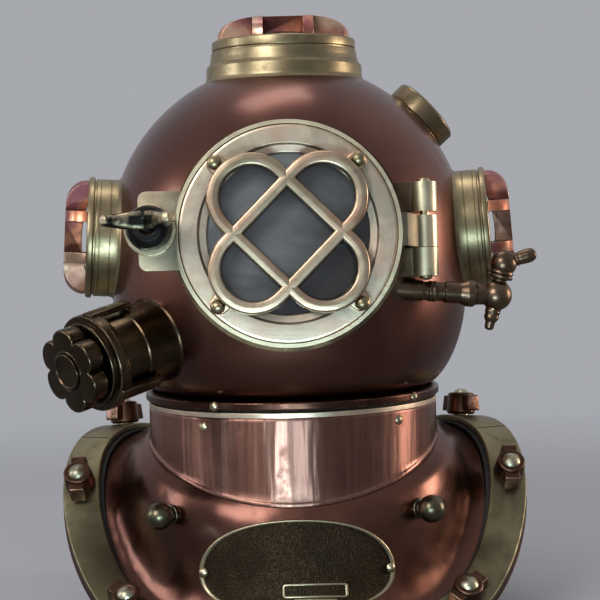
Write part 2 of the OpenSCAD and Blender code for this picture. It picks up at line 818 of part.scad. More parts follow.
module gooseneck_outlet() {
  rotate([gooseneck_bend, 0, 0]) children();
}
module air_gooseneck() { gooseneck(-1); }
module cable_gooseneck() { gooseneck(1); }

// Exhaust valve, drawn along its own axis from the dome outwards

exhaust_foot_l = 26;
exhaust_bar_low = 19;
exhaust_barrel_l = 47;
exhaust_collar_low = 48.5;
exhaust_collar_high = 58;
exhaust_cap_high = 61.6;
exhaust_wheel_low = 65;
exhaust_wheel_l = 13;
exhaust_stem_r = 4;
follower_rest = 43;
follower_travel = 5;
exhaust_stem_low = follower_rest - follower_travel - 3;
cage_bars = [80, -40, -160];

module exhaust_body() {
  color(aged_brass) difference() {
    exhaust_frame() difference() {
      union() {
        translate([0, 0, -34]) cylinder(r = exhaust_barrel_r + 2, h = 44);
        cylinder(r = exhaust_barrel_r + 1, h = exhaust_foot_l);
        cylinder(r = exhaust_barrel_r, h = exhaust_barrel_l);
      }
      translate([0, 0, -40]) cylinder(r = exhaust_port_r, h = 60);
      translate([0, 0, 9]) cylinder(r = exhaust_barrel_r - 4, h = 60);
    }
    dome_solid(0);
  }
}

module exhaust_cage() {
  color(aged_brass) exhaust_frame() difference() {
    union() {
      translate([0, 0, exhaust_collar_low]) cylinder(r = exhaust_r, h = exhaust_collar_high - exhaust_collar_low);
      translate([0, 0, exhaust_collar_high - 1]) cylinder(r = exhaust_barrel_r + 1, h = exhaust_cap_high - exhaust_collar_high + 1);
      for (a = cage_bars) rotate([0, 0, a])
        translate([0, -5, exhaust_bar_low]) {
          translate([exhaust_r - 2.6, 0, 0]) cube([4.4, 10, exhaust_collar_high - exhaust_bar_low - 1]);
          translate([exhaust_barrel_r + 1.1, 0, 0]) cube([4, 10, 5]);
        }
    }
    translate([0, 0, 40]) cylinder(r = exhaust_stem_r + run_gap, h = 40, $fn = 48);
    translate([0, 0, 40]) cylinder(r = exhaust_barrel_r - 4, h = exhaust_collar_low + 6 - 40);
  }
}

spring_turns = 6;
spring_r = 11;
spring_wire = 1.3;
module exhaust_spring() {
  low = 15.6;
  high = follower_rest - 0.2;
  steps = spring_turns * 12;
  rings = [
    for (i = [0:steps])
      let (
        a = -i * 30,
        z = low + spring_wire + (high - low - 2 * spring_wire) * i / steps
      )
      [for (j = [0:5]) let (b = j * 60, r = spring_r + spring_wire * cos(b)) [r * cos(a), r * sin(a), z + spring_wire * sin(b)]]
  ];
  color("dimgray") exhaust_frame() skin(rings, false);
}

module spring_follower() {
  color(brass) exhaust_frame() translate([0, 0, follower_rest]) difference() {
    cylinder(r = 16, h = 3.5);
    translate([0, 0, -1]) cylinder(r = exhaust_stem_r + run_gap, h = 10, $fn = 48);
  }
}

module exhaust_wheel() {
  color(aged_brass) exhaust_frame() {
    translate([0, 0, exhaust_stem_low]) cylinder(r = exhaust_stem_r, h = exhaust_wheel_low + 2 - exhaust_stem_low, $fn = 48);
    translate([0, 0, exhaust_wheel_low]) difference() {
      union() {
        cylinder(r = exhaust_wheel_r - 8, h = exhaust_wheel_l);
        for (i = [0:5]) rotate([0, 0, 30 + i * 60]) translate([exhaust_wheel_r - 8.6, 0, 0])
          cylinder(r = 8.6, h = exhaust_wheel_l);
      }
      translate([0, 0, exhaust_wheel_l - 1.4]) cylinder(r = 14, h = 5);
    }
    translate([0, 0, exhaust_cap_high + 0.4]) cylinder(r = 9, h = exhaust_wheel_low - exhaust_cap_high - 0.3);
  }
}

module wheel_cap() {
  color(aged_brass) exhaust_frame() translate([0, 0, exhaust_wheel_low + exhaust_wheel_l - 1.3]) rotate_extrude()
    polygon([[0, 0], [13.5, 0], [13.5, 3], [12.7, 3.8], [11.7, 3.8], [10.8, 2.6], [0, 2.6]]);
}

module exhaust_poppet() {
  color(brass) exhaust_frame() {
    translate([0, 0, 9.1]) cylinder(r = exhaust_port_r + 1.8, h = 3);
    translate([0, 0, 12]) cylinder(r = 8, h = 3);
    translate([0, 0, -14]) cylinder(r = 3, h = 24, $fn = 48);
  }
}

module chin_button() {
  color(aged_brass) exhaust_frame() translate([0, 0, -14.1]) rotate([180, 0, 0]) rotate_extrude()
    polygon([[0, 0], [15, 0], [17, 2], [16, 4.5], [10, 6], [0, 6.6]]);
}

// Spitcock, drawn along its tube from inside the dome outwards

spitcock_l = 77.5;
spitcock_stem_r = 5;
module spitcock_body() {
  color(aged_brass) difference() {
    union() {
      difference() {
        spitcock_frame() rotate_extrude() polygon([
          [0, -8], [spitcock_foot_r, -8], [spitcock_foot_r, 22], [6.8, 23], [6.8, 26], [7.6, 27], [7.6, 32], [6.8, 33], [6.8, 38],
          [7.8, 39], [7.8, 50], [8.6, 52], [9.8, 56], [9.8, 60], [8, 63], [7.6, spitcock_l], [0, spitcock_l]
        ]);
        dome_solid(0);
      }
      spitcock_ball() sphere(r = spitcock_ball_r, $fn = 96);
      spitcock_ball() rotate([180, 0, 0]) rotate_extrude()
        polygon([[0, 0], [5.8, 0], [5.6, 17], [4.4, 19], [3.7, 20], [3.4, 24.5], [2.4, 26], [0, 26.4]]);
    }
    spitcock_ball() cylinder(r = spitcock_stem_r + run_gap, h = 30, $fn = 48);
  }
}

// Middle of the ball, with Z along the plug, which leans to the right
module spitcock_ball() {
  run = spitcock_l * cos(spitcock_tilt);
  translate(spitcock_at + [
    run * sin(spitcock_azimuth), -run * cos(spitcock_azimuth), spitcock_l * sin(spitcock_tilt)
  ]) rotate([0, spitcock_lean, 0]) children();
}

knob_z = 24;
module spitcock_handle() {
  color(dark_bronze) spitcock_ball() {
    translate([0, 0, 1]) cylinder(r = spitcock_stem_r, h = knob_z, $fn = 48);
    translate([0, 0, spitcock_ball_r + 0.4]) rotate_extrude() polygon([
      [0, 0], [6, 0], [8.6, 0.8], [9.2, 2.6], [7.6, 3.6], [9, 4.6], [8.6, 6.2], [6.5, 7.4], [0, 7.4]
    ]);
    translate([0, 0, knob_z]) sphere(r = 9.8, $fn = 96);
    translate([0, 0, knob_z]) rotate([0, 60, 0]) rotate_extrude() polygon([
      [0, 0], [4.6, 0], [5, 12], [5.4, 18], [5.2, 21], [4, 23.6], [2, 24.8], [0, 25]
    ]);
  }
}

// Faceplate. Each piece is drawn along Z of the face frame.

bezel_r = door_r - 3.2;
bezel_bore_r = door_sight_r + 6;
door_floor_t = 4.5;
door_seal_t = 1;
glass_low = door_back + door_floor_t + door_seal_t;
bezel_low = glass_low + door_glass_t + seat_gap;
bezel_high = door_front - 0.5;
glass_r = door_sight_r + 3.6;

module door() {
  color(brass) face_frame() difference() {
    union() {
      translate([0, 0, door_back]) cylinder(r = door_r, h = door_t, $fn = 128);
      door_lug();
      translate([0, knuckle_mid_low, 0]) {
        translate([hinge_x, 0, hinge_d]) rotate([-90, 0, 0]) cylinder(r = knuckle_r, h = knuckle_mid_high - knuckle_mid_low);
        linear_height = knuckle_mid_high - knuckle_mid_low;
        translate([0, linear_height, 0]) rotate([90, 0, 0]) linear_extrude(linear_height)
          polygon([
            [door_r - 8, door_back + 2], [door_r + 4, door_back + 0.6], [hinge_x - knuckle_r + 0.8, hinge_d + 2],
            [hinge_x, hinge_d], [hinge_x + knuckle_r - 0.6, hinge_d + 2.8], [hinge_x + 5.5, hinge_d + 9.5],
            [hinge_x + 0.5, hinge_d + 18.5], [door_r + 11, door_front - 13], [door_r + 4, door_front - 6],
            [door_r - 8, door_front - 3]
          ]);
      }
    }
    translate([0, 0, door_back - 1]) cylinder(r = door_sight_r - 0.6, h = door_t + 2, $fn = 128);
    translate([0, 0, door_back + door_floor_t]) cylinder(r = bezel_r + 0.4, h = door_t, $fn = 128);
    translate([0, 0, door_back - 1]) ring(door_sight_r + 13, door_sight_r + 8, 3.2);
    translate([hinge_x, -60, hinge_d]) rotate([-90, 0, 0]) cylinder(r = hinge_pin_r + run_gap, h = 120, $fn = 48);
    translate([clamp_x, clamp_y - 1, lug_high]) cylinder(r = washer_r + 0.4, h = 20);
  }
}

// Lug on the free side, with an open slot for the clamp bolt
lug_low = door_back + 5;
lug_high = door_front - 2;
lug_round = 6;
module door_lug() {
  difference() {
    translate([0, 0, lug_low]) linear_extrude(lug_high - lug_low) difference() {
      union() {
        for (y = [lug_mid_y - lug_half_h + lug_round, lug_mid_y + lug_half_h - lug_round])
          translate([lug_end_x + lug_round, y]) circle(r = lug_round, $fn = 48);
        translate([lug_end_x + lug_round, lug_mid_y - lug_half_h]) square([40, 2 * lug_half_h]);
        translate([lug_end_x, lug_mid_y - lug_half_h + lug_round]) square([20, 2 * lug_half_h - 2 * lug_round]);
      }
      translate([clamp_x, clamp_y]) circle(r = clamp_bolt_r + 0.4, $fn = 48);
      translate([lug_end_x - 1, clamp_y - clamp_bolt_r - 0.4]) square([clamp_x - lug_end_x + 1, 2 * clamp_bolt_r + 0.8]);
    }
    translate([0, 0, lug_low - 1]) cylinder(r = door_r - 2, h = 30, $fn = 128);
  }
}

module door_seal() {
  color(rubber) face_frame() translate([0, 0, seat_reach + 0.02])
    ring(door_sight_r + 12.9, door_sight_r + 8.1, 3);
}
module door_glass_seal() {
  color(rubber) face_frame() translate([0, 0, door_back + door_floor_t]) ring(glass_r, door_sight_r, door_seal_t);
}
module door_glass() {
  color(glass_grey) face_frame() translate([0, 0, glass_low]) cylinder(r = glass_r, h = door_glass_t, $fn = 128);
}
module door_bezel() {
  lip_high = bezel_low + 2.4;
  color(brass) face_frame() difference() {
    rotate_extrude($fn = 128) polygon([
      [door_sight_r, bezel_low], [glass_r + 0.3, bezel_low], [glass_r + 0.3, door_back + door_floor_t + seat_gap],
      [bezel_r, door_back + door_floor_t + seat_gap], [bezel_r, bezel_high - 0.6], [bezel_r - 0.6, bezel_high],
      [bezel_bore_r + 0.8, bezel_high], [bezel_bore_r, bezel_high - 0.8], [bezel_bore_r, lip_high],
      [door_sight_r + 0.5, lip_high]
    ]);
    guard_screw_places() translate([0, 0, bezel_high - 9]) cylinder(r = 2.9, h = 12, $fn = 32);
  }
}

guard_screw_r = 71.5;
guard_head_r = 5.4;
guard_low = door_front + 3;
guard_high = guard_low + 9;
module guard_screw_places() {
  for (a = [45:90:315]) rotate([0, 0, a]) translate([guard_screw_r, 0, 0]) children();
}

// Outline of one loop of the guard along its long axis, grown by an amount
module loop_outline(grow) {
  for (side = [-1, 1]) translate([side * guard_loop_reach, 0]) circle(r = guard_loop_r + grow, $fn = 96);
  translate([-guard_loop_reach, -guard_loop_r - grow]) square([2 * guard_loop_reach, 2 * (guard_loop_r + grow)]);
}

module door_guard() {
  color(guard_copper) face_frame() difference() {
    union() {
      for (a = [45, 135]) rotate([0, 0, a]) translate([0, 0, guard_low])
        linear_extrude(guard_high - guard_low) difference() {
          loop_outline(guard_bar_w / 2);
          loop_outline(-guard_bar_w / 2);
        }
      for (a = [45:90:315]) rotate([0, 0, a]) {
        translate([guard_loop_reach + guard_loop_r - 2, -7, bezel_high + seat_gap])
          cube([guard_screw_r - guard_loop_reach - guard_loop_r + 2, 14, guard_low + 3 - bezel_high]);
        translate([guard_screw_r, 0, bezel_high + seat_gap]) cylinder(r = 6, h = guard_low + 3 - bezel_high, $fn = 48);
      }
    }
    guard_screw_places() {
      translate([0, 0, bezel_high - 9]) cylinder(r = 3.1, h = 40, $fn = 32);
      translate([0, 0, guard_low + 3.1]) cylinder(r = guard_head_r + seam_gap, h = 20, $fn = 48);
    }
  }
}

module door_guard_screws() {
  color(brass) face_frame() guard_screw_places() {
    translate([0, 0, bezel_high - 8]) cylinder(r = 2.7, h = guard_low + 3.4 - bezel_high + 8, $fn = 32);
    translate([0, 0, guard_low + 3.3]) dome_head(guard_head_r, 3.2);
  }
}

// Clamp: a captive bolt and wing nut that travel with the faceplate

washer_low = lug_high + washer_gap;
washer_t = 3;
washer_r = 18.4;
nut_low = washer_low + washer_t + 0.1;
wing_hub_h = 24;

module clamp_bolt() {
  color(dark_bronze) face_frame() translate([clamp_x, clamp_y, clamp_socket_reach]) difference() {
    cylinder(r = clamp_bolt_r, h = nut_low + wing_hub_h - 7 - clamp_socket_reach, $fn = 48);
    translate([0, 0, -1]) difference() {
      cylinder(r = 6, h = 2);
      cylinder(r = clamp_bolt_r - 0.8, h = 2);
    }
  }
}

module clamp_washer() {
  color(brass) face_frame() translate([clamp_x, clamp_y - 1, washer_low]) difference() {
    cylinder(r = washer_r, h = washer_t);
    translate([0, 1, -1]) cylinder(r = clamp_bolt_r + run_gap, h = 10, $fn = 48);
  }
}

wing_splay_left = 12;
wing_splay_right = 52;
module wing(splay) {
  translate([0, 0, wing_hub_h - 6]) rotate([0, -splay, 0]) translate([0, 3.5, 0]) rotate([90, 0, 0])
    linear_extrude(7) polygon([
      [3, -8], [wing_hub_r, -5.5], [wing_reach - 9, -3.5], [wing_reach - 2.5, -3], [wing_reach, -0.5],
      [wing_reach, 5], [wing_reach - 3, 7.5], [wing_reach - 10, 6.5], [wing_hub_r - 2, 4.5], [3, 5]
    ]);
}
module wing_nut() {
  color(dark_bronze) face_frame() translate([clamp_x, clamp_y, nut_low]) difference() {
    union() {
      rotate_extrude() polygon([
        [0, 0], [wing_hub_r - 0.5, 0], [wing_hub_r, 1.5], [wing_hub_r - 1.5, wing_hub_h - 2],
        [wing_hub_r - 4, wing_hub_h], [0, wing_hub_h]
      ]);
      wing(wing_splay_right);
      rotate([0, 0, 180]) wing(wing_splay_left);
    }
    translate([0, 0, -1]) cylinder(r = clamp_bolt_r + run_gap, h = 40, $fn = 48);
    translate([0, 0, wing_hub_h - 5]) cylinder(r = clamp_bolt_r + 0.8, h = 40, $fn = 48);
  }
}

breastplate();
breast_neck_ring();
neck_collar();
collar_rivets();
neck_gasket();
rim_gasket();
strap_front_left();
strap_front_right();
strap_back_left();
strap_back_right();
rim_studs();
rim_nuts();
nameplate();
nameplate_rivets();
lanyard_studs();
bonnet();
bonnet_neck_ring();
neck_ring_screws();
faceplate_seat();
hinge_pin();
left_window_body();
left_window_gasket();
left_window_glass();
left_window_bezel();
left_window_guard();
right_window_body();
right_window_gasket();
right_window_glass();
right_window_bezel();
right_window_guard();
top_window_body();
top_window_gasket();
top_window_glass();
top_window_bezel();
top_window_guard();
receiver_cup();
air_gooseneck();
cable_gooseneck();
exhaust_body();
exhaust_cage();
exhaust_spring();
spring_follower();
exhaust_wheel();
wheel_cap();
exhaust_poppet();
chin_button();
spitcock_body();
spitcock_handle();
door();
door_seal();
door_glass();
door_glass_seal();
door_bezel();
door_guard();
door_guard_screws();
clamp_bolt();
clamp_washer();
wing_nut();
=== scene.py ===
"""Finishes and detailed pieces of a diving helmet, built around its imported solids."""

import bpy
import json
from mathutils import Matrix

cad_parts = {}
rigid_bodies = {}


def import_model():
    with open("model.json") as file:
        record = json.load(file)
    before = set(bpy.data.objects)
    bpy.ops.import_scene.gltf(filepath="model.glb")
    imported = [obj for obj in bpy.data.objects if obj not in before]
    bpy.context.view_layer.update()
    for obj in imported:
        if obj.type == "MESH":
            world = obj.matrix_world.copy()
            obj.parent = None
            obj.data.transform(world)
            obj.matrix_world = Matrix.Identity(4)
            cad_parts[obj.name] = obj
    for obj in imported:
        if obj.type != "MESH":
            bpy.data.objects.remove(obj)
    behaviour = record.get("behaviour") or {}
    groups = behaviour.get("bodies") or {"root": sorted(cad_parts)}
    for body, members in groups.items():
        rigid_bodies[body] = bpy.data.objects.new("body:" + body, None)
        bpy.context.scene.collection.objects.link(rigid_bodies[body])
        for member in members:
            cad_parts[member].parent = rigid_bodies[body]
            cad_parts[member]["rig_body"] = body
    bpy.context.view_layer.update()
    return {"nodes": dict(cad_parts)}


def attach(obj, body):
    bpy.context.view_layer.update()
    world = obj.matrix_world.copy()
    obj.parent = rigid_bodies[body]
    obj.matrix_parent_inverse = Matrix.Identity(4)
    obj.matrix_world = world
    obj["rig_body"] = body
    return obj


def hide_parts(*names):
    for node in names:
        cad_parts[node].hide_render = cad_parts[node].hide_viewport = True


bl_info = {
    "name": "Diving helmet",
    "version": (1, 0, 0),
    "blender": (4, 2, 0),
    "location": "3D View > Sidebar > Helmet",
    "description": "Builds the copper, brass and glass pieces of a diving helmet with their finishes",
    "category": "Add Mesh",
}

import json
import math

import bmesh
import bpy
import numpy as np
from bpy.props import FloatProperty, FloatVectorProperty, PointerProperty
from mathutils import Matrix

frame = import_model()
MM = 0.001
TAU = 2 * math.pi
# Distances, in metres, within which points are merged: those of new pieces and those of CAD meshes.
NEW_MERGE, CAD_MERGE = 2e-6, 3e-6


# Places, in millimetres


def move(x, y, z):
    """Shift by x, y and z."""
    m = np.eye(4)
    m[:3, 3] = (x, y, z)
    return m


def turn(axis, degrees):
    """Right-hand turn about one of the axes x, y or z."""
    c, s = math.cos(math.radians(degrees)), math.sin(math.radians(degrees))
    i, j = {"x": (1, 2), "y": (2, 0), "z": (0, 1)}[axis]
    m = np.eye(4)
    m[i, i] = m[j, j] = c
    m[i, j], m[j, i] = -s, s
    return m


def aim(z, azimuth, tilt):
    """Place on the dome's axis whose own Z runs outwards, from the front by azimuth and up by tilt."""
    return move(0, 0, z) @ turn("z", azimuth) @ turn("x", 90 - tilt)


def place(matrix, points):
    """Points given in a place's own axes, in those of the helmet."""
    return points @ matrix[:3, :3].T + matrix[:3, 3]


def unit(v):
    """Vectors brought to length 1."""
    return v / np.linalg.norm(v, axis=-1, keepdims=True)


# Dome: height of its centre, its radius, and the drop and radius of its hem.
DOME_Z, DOME_R = 297.0, 142.0
HEM_DROP, HEM_R = 113.2, 111.0
# Thickness of the copper. Neck: its outer radius and its top.
SHEET = 2.2
NECK_R, NECK_HIGH = 111.0, 169.0
# Hinge pin: its offset, its depth and the radius of the barrels round it.
PIN_X, PIN_DEPTH, BARREL_R = 99.5, 116.0, 9.4
# Radii of the bores that go through the dome.
FACE_BORE, SIDE_BORE, TOP_BORE, CUP_BORE, EXHAUST_BORE, COCK_BORE, PIPE_BORE = 62, 37, 44, 24, 22, 3.5, 8
FACE = aim(294, 0, 4)
SIDES = {"left": aim(294, -83.5, 4), "right": aim(294, 83.5, 4)}
TOP = move(0, 0, DOME_Z)
CUP = aim(DOME_Z, 95, 42)
EXHAUST = move(-104.4, -88.4, 226.5) @ turn("z", -47) @ turn("x", 90 + 12.3)
SPITCOCK = move(75, -112, 262) @ turn("z", 94.5) @ turn("x", 90 + 5)
PLUG_BALL = move(*place(SPITCOCK, np.array([0, 0, 77.5]))) @ turn("y", 14)
GOOSENECKS = {"air_gooseneck": aim(DOME_Z, -155, 12), "cable_gooseneck": aim(DOME_Z, 155, 12)}
CLAMP = FACE @ move(-97, 5.5, 0)
HINGE = FACE @ move(PIN_X, 0, PIN_DEPTH) @ turn("x", -90)


# Shapes, as arrays of points


def rounded(corners, closed=True, steps=5):
    """Outline through corners (x, y, radius, mark). A corner with a radius becomes an arc that touches both
    of its sides, and one without gets a point close by on either side. Returns the points and a mark for
    each: up to 1 on an outer corner, where a finish is rubbed bright, down to -1 in an inner one, where a
    finish paints shade with some dirt, and 0 between. A fourth number sets a corner's mark itself."""
    c = np.array([k[:2] for k in corners], float)
    ahead, back = np.roll(c, -1, 0), np.roll(c, 1, 0)
    whole = np.sum(c[:, 0] * ahead[:, 1] - ahead[:, 0] * c[:, 1])
    before, after = c - back, ahead - c
    bends = (before[:, 0] * after[:, 1] - before[:, 1] * after[:, 0]) * whole
    runs = []
    for i, k in enumerate(corners):
        radius = k[2] if len(k) > 2 else 0.0
        mark = k[3] if len(k) > 3 else None
        plain = (c[i][None], [mark or 0.0])
        u, v = back[i] - c[i], ahead[i] - c[i]
        reach = min(np.linalg.norm(u), np.linalg.norm(v))
        at_end = not closed and i in (0, len(c) - 1)
        if at_end or reach < 1e-9:
            runs.append(plain)
            continue
        u, v = unit(u), unit(v)
        half = 0.5 * math.acos(np.clip(u @ v, -1, 1))
        if mark is None:
            mark = (1.0 if bends[i] > 0 else -1.0) * min(1.0, (math.pi / 2 - half) * 2)
        if half > math.pi / 2 - 0.01:
            runs.append(plain)
        elif radius <= 0:
            near = min(0.9, 0.3 * reach)
            runs.append((np.stack([c[i] + u * near, c[i], c[i] + v * near]), [0.0, mark, 0.0]))
        else:
            cut = min(radius / math.tan(half), 0.49 * reach)
            radius = cut * math.tan(half)
            centre = c[i] + unit(u + v) * radius / math.sin(half)
            first, last = c[i] + u * cut - centre, c[i] + v * cut - centre
            sweep = math.pi - 2 * half
            t = np.linspace(0, 1, steps + 1)[:, None]
            arc = (np.sin((1 - t) * sweep) * first + np.sin(t * sweep) * last) / math.sin(sweep)
            runs.append((centre + arc, mark * np.sin(np.pi * t[:, 0]) ** 0.5))
    points, marks = zip(*runs)
    return np.concatenate(points), np.concatenate(marks)


def grid(points, wrap_rows, wrap_columns, wear_and_shade=None):
    """Part made of the quads of a grid of points, rows by columns, wrapped on itself where it closes."""
    rows, columns = points.shape[:2]
    i = np.arange(rows if wrap_rows else rows - 1)[:, None]
    j = np.arange(columns if wrap_columns else columns - 1)[None, :]
    k, l = (i + 1) % rows, (j + 1) % columns
    quads = np.stack([i * columns + j, i * columns + l, k * columns + l, k * columns + j], -1).reshape(-1, 4)
    wear_and_shade = np.zeros((rows, columns)) if wear_and_shade is None else np.broadcast_to(wear_and_shade, (rows, columns))
    return points.reshape(-1, 3), quads, [], wear_and_shade.reshape(-1)


def lathe(corners, at=np.eye(4), segments=96, closed=True):
    """Turned part: the outline's point (r, h) at angle a lies at (r cos a, r sin a, h). An outline that isn't
    closed ends on the axis at r = 0."""
    outline, wear_and_shade = rounded(corners, closed)
    a = np.arange(segments) * TAU / segments
    r, h = outline[:, :1], outline[:, 1:]
    points = np.stack([r * np.cos(a), r * np.sin(a), h + 0 * a], -1)
    return grid(place(at, points), closed, True, wear_and_shade[:, None])


def slab(outline, low, high, edge, at=np.eye(4), line=0.0):
    """Plate of a flat outline from low to high, whose rims are quarter rounds of radius edge: each ring of
    points is the outline drawn in along its normals by edge (1 - sin b) at a height that falls by edge (1 -
    cos b). Line gives the wear of each point of the outline."""
    side = unit(np.roll(outline, -1, 0) - np.roll(outline, 1, 0))
    inward = np.stack([-side[:, 1], side[:, 0]], -1)
    ahead = np.roll(outline, -1, 0)
    if np.sum(outline[:, 0] * ahead[:, 1] - ahead[:, 0] * outline[:, 1]) < 0:
        inward = -inward
    b = np.linspace(0, math.pi / 2, 5)
    drawn = np.concatenate([edge * (1 - np.sin(b)), (edge * (1 - np.sin(b)))[::-1]])
    height = np.concatenate([low + edge * (1 - np.cos(b)), (high - edge * (1 - np.cos(b)))[::-1]])
    wear_and_shade = np.concatenate([np.sin(2 * b), np.sin(2 * b)[::-1]])
    flat = outline[None] + drawn[:, None, None] * inward[None]
    points = np.concatenate([flat, np.broadcast_to(height[:, None, None], flat.shape[:2] + (1,))], -1)
    flats = np.array([0] + [1] * 8 + [0])[:, None]
    p, quads, _, w = grid(place(at, points), False, True, np.maximum(wear_and_shade[:, None], line * flats))
    n = len(outline)
    return p, quads, [list(range(n)), list(range(len(p) - n, len(p)))[::-1]], w


def swept(path, side, up, section, wear_and_shade):
    """Closed bar: the section's point (s, t) at each point of the path lies at path + s side + t up."""
    points = path[:, None] + section[None, :, :1] * side[:, None] + section[None, :, 1:] * up[:, None]
    return grid(points, True, True, wear_and_shade)


def dome_cap(radius, height, count=10):
    """Outline of a spherical cap of that radius and height, from its rim to its top: (R sin b, height - R (1
    - cos b))."""
    sphere = (radius * radius + height * height) / (2 * height)
    b = np.linspace(math.asin(min(1.0, radius / sphere)), 0, count)
    return [(sphere * math.sin(x), height - sphere * (1 - math.cos(x))) for x in b]


def dome_head(radius, height, at):
    """Rivet or screw head: a spherical cap of that radius and height, with a flat underside."""
    cap = dome_cap(radius, height, 9)[1:-1]
    return lathe([(0, 0), (radius, 0)] + cap + [(0, height)], at, 32, closed=False)


def join(parts):
    """One list of points, faces and wear for all the parts."""
    base = np.cumsum([0] + [len(p[0]) for p in parts[:-1]])
    points = np.concatenate([p[0] for p in parts])
    quads = np.concatenate([p[1] + b for p, b in zip(parts, base)])
    caps = [[i + int(b) for i in cap] for p, b in zip(parts, base) for cap in p[2]]
    return points, quads.tolist() + caps, np.concatenate([p[3] for p in parts])


def linked(name, data):
    """Makes an object of a mesh, a lamp or a lens, in the scene."""
    made = bpy.data.objects.new(name, data)
    bpy.context.scene.collection.objects.link(made)
    return made


def set_wear_and_shade(mesh, wear_and_shade):
    """Keeps the wear and the painted shade of each point in the mesh, where the finishes find them."""
    mesh.attributes.new("wear_and_shade", "FLOAT", "POINT").data.foreach_set("value", wear_and_shade.astype(np.float32))


def hand_over(name, mesh, coat, body, node):
    """Makes the mesh an object with its finish, which rides on a CAD body and stands in for a CAD node."""
    mesh.materials.clear()
    mesh.materials.append(finish(coat))
    shown = linked(name, mesh)
    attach(shown, body)
    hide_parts(node)
    return shown


def piece(name, parts, body, coat, node, sharp=32, wall=0.0):
    """Makes one object of the parts, in metres at the origin, closes its seams, and hands it to its CAD
    body. Edges sharper than that many degrees stay crisp, and a wall in millimetres makes it a shell."""
    points, faces, wear_and_shade = join(parts)
    mesh = bpy.data.meshes.new(name)
    mesh.from_pydata((points * MM).tolist(), [], faces)
    set_wear_and_shade(mesh, wear_and_shade)
    bm = bmesh.new()
    bm.from_mesh(mesh)
    bmesh.ops.remove_doubles(bm, verts=bm.verts, dist=NEW_MERGE)
    bmesh.ops.dissolve_degenerate(bm, dist=1e-7, edges=bm.edges)
    bmesh.ops.recalc_face_normals(bm, faces=bm.faces)
    bm.to_mesh(mesh)
    bm.free()
    mesh.shade_smooth()
    mesh.set_sharp_from_angle(angle=math.radians(sharp))
    shown = hand_over(name, mesh, coat, body, node)
    if wall:
        solid = shown.modifiers.new("Wall", "SOLIDIFY")
        solid.thickness, solid.offset = wall * MM, -1


# The hinge's lug falls in a straight line between these two places, each an offset and a depth, and meets the
# barrel's circle at this angle.
LUG_TOP, LUG_FOOT = (84.5, 150.0), (95.0, 124.25)
LUG_ANGLE = 118.6


def hinge_cuts():
    """Offsets at which the hinge's block is cut across: the lug's top, and even steps round the barrel."""
    angle = np.linspace(math.radians(LUG_ANGLE), 0, 12)[:-1]
    return [LUG_TOP[0], *(PIN_X + BARREL_R * np.cos(angle))]


def hinge_barrel(points):
    """Block at the faceplate's hinge, cut down to a lug and a barrel. Ahead of the pin, a point's depth is at
    most the lug's straight fall, and from its foot on the barrel's circle: pin depth + sqrt(barrel radius
    squared - offset squared)."""
    p = np.c_[points / MM, np.ones(len(points))] @ np.linalg.inv(FACE).T
    x, z = p[:, 0], p[:, 2]
    circle = PIN_DEPTH + np.sqrt(np.clip(BARREL_R**2 - (x - PIN_X) ** 2, 0, None))
    top = np.where(x < LUG_FOOT[0], np.interp(x, *zip(LUG_TOP, LUG_FOOT)), circle)
    p[:, 2] = np.where((x > LUG_TOP[0]) & (z > PIN_DEPTH), np.minimum(z, top), z)
    return (p @ FACE.T)[:, :3] * MM


def numbers(items, key, width=1, kind=np.float32):
    """One property of all items of a mesh, as an array."""
    values = np.empty(len(items) * width, kind)
    items.foreach_get(key, values)
    return values


def wear_and_shade_of_bevels(mesh, dirt_and_shade, near):
    """Marks the points inside a mesh's bevels, whose faces have the second material, for wear, and all points
    near the inner corners for painted shade with some dirt. Then all faces get the first material."""
    kind = numbers(mesh.polygons, "material_index", kind=np.int32)
    owner = np.repeat(kind, numbers(mesh.polygons, "loop_total", kind=np.int32))
    corner = numbers(mesh.loops, "vertex_index", kind=np.int32)
    wear_and_shade = np.ones(len(mesh.vertices))
    wear_and_shade[corner[owner == 0]] = 0
    if len(dirt_and_shade):
        points = numbers(mesh.vertices, "co", 3).reshape(-1, 1, 3)
        gap = np.linalg.norm(points - dirt_and_shade[None], axis=-1).min(1)
        wear_and_shade = np.where(gap < near, -1, wear_and_shade)
    mesh.polygons.foreach_set("material_index", 0 * kind)
    set_wear_and_shade(mesh, wear_and_shade)


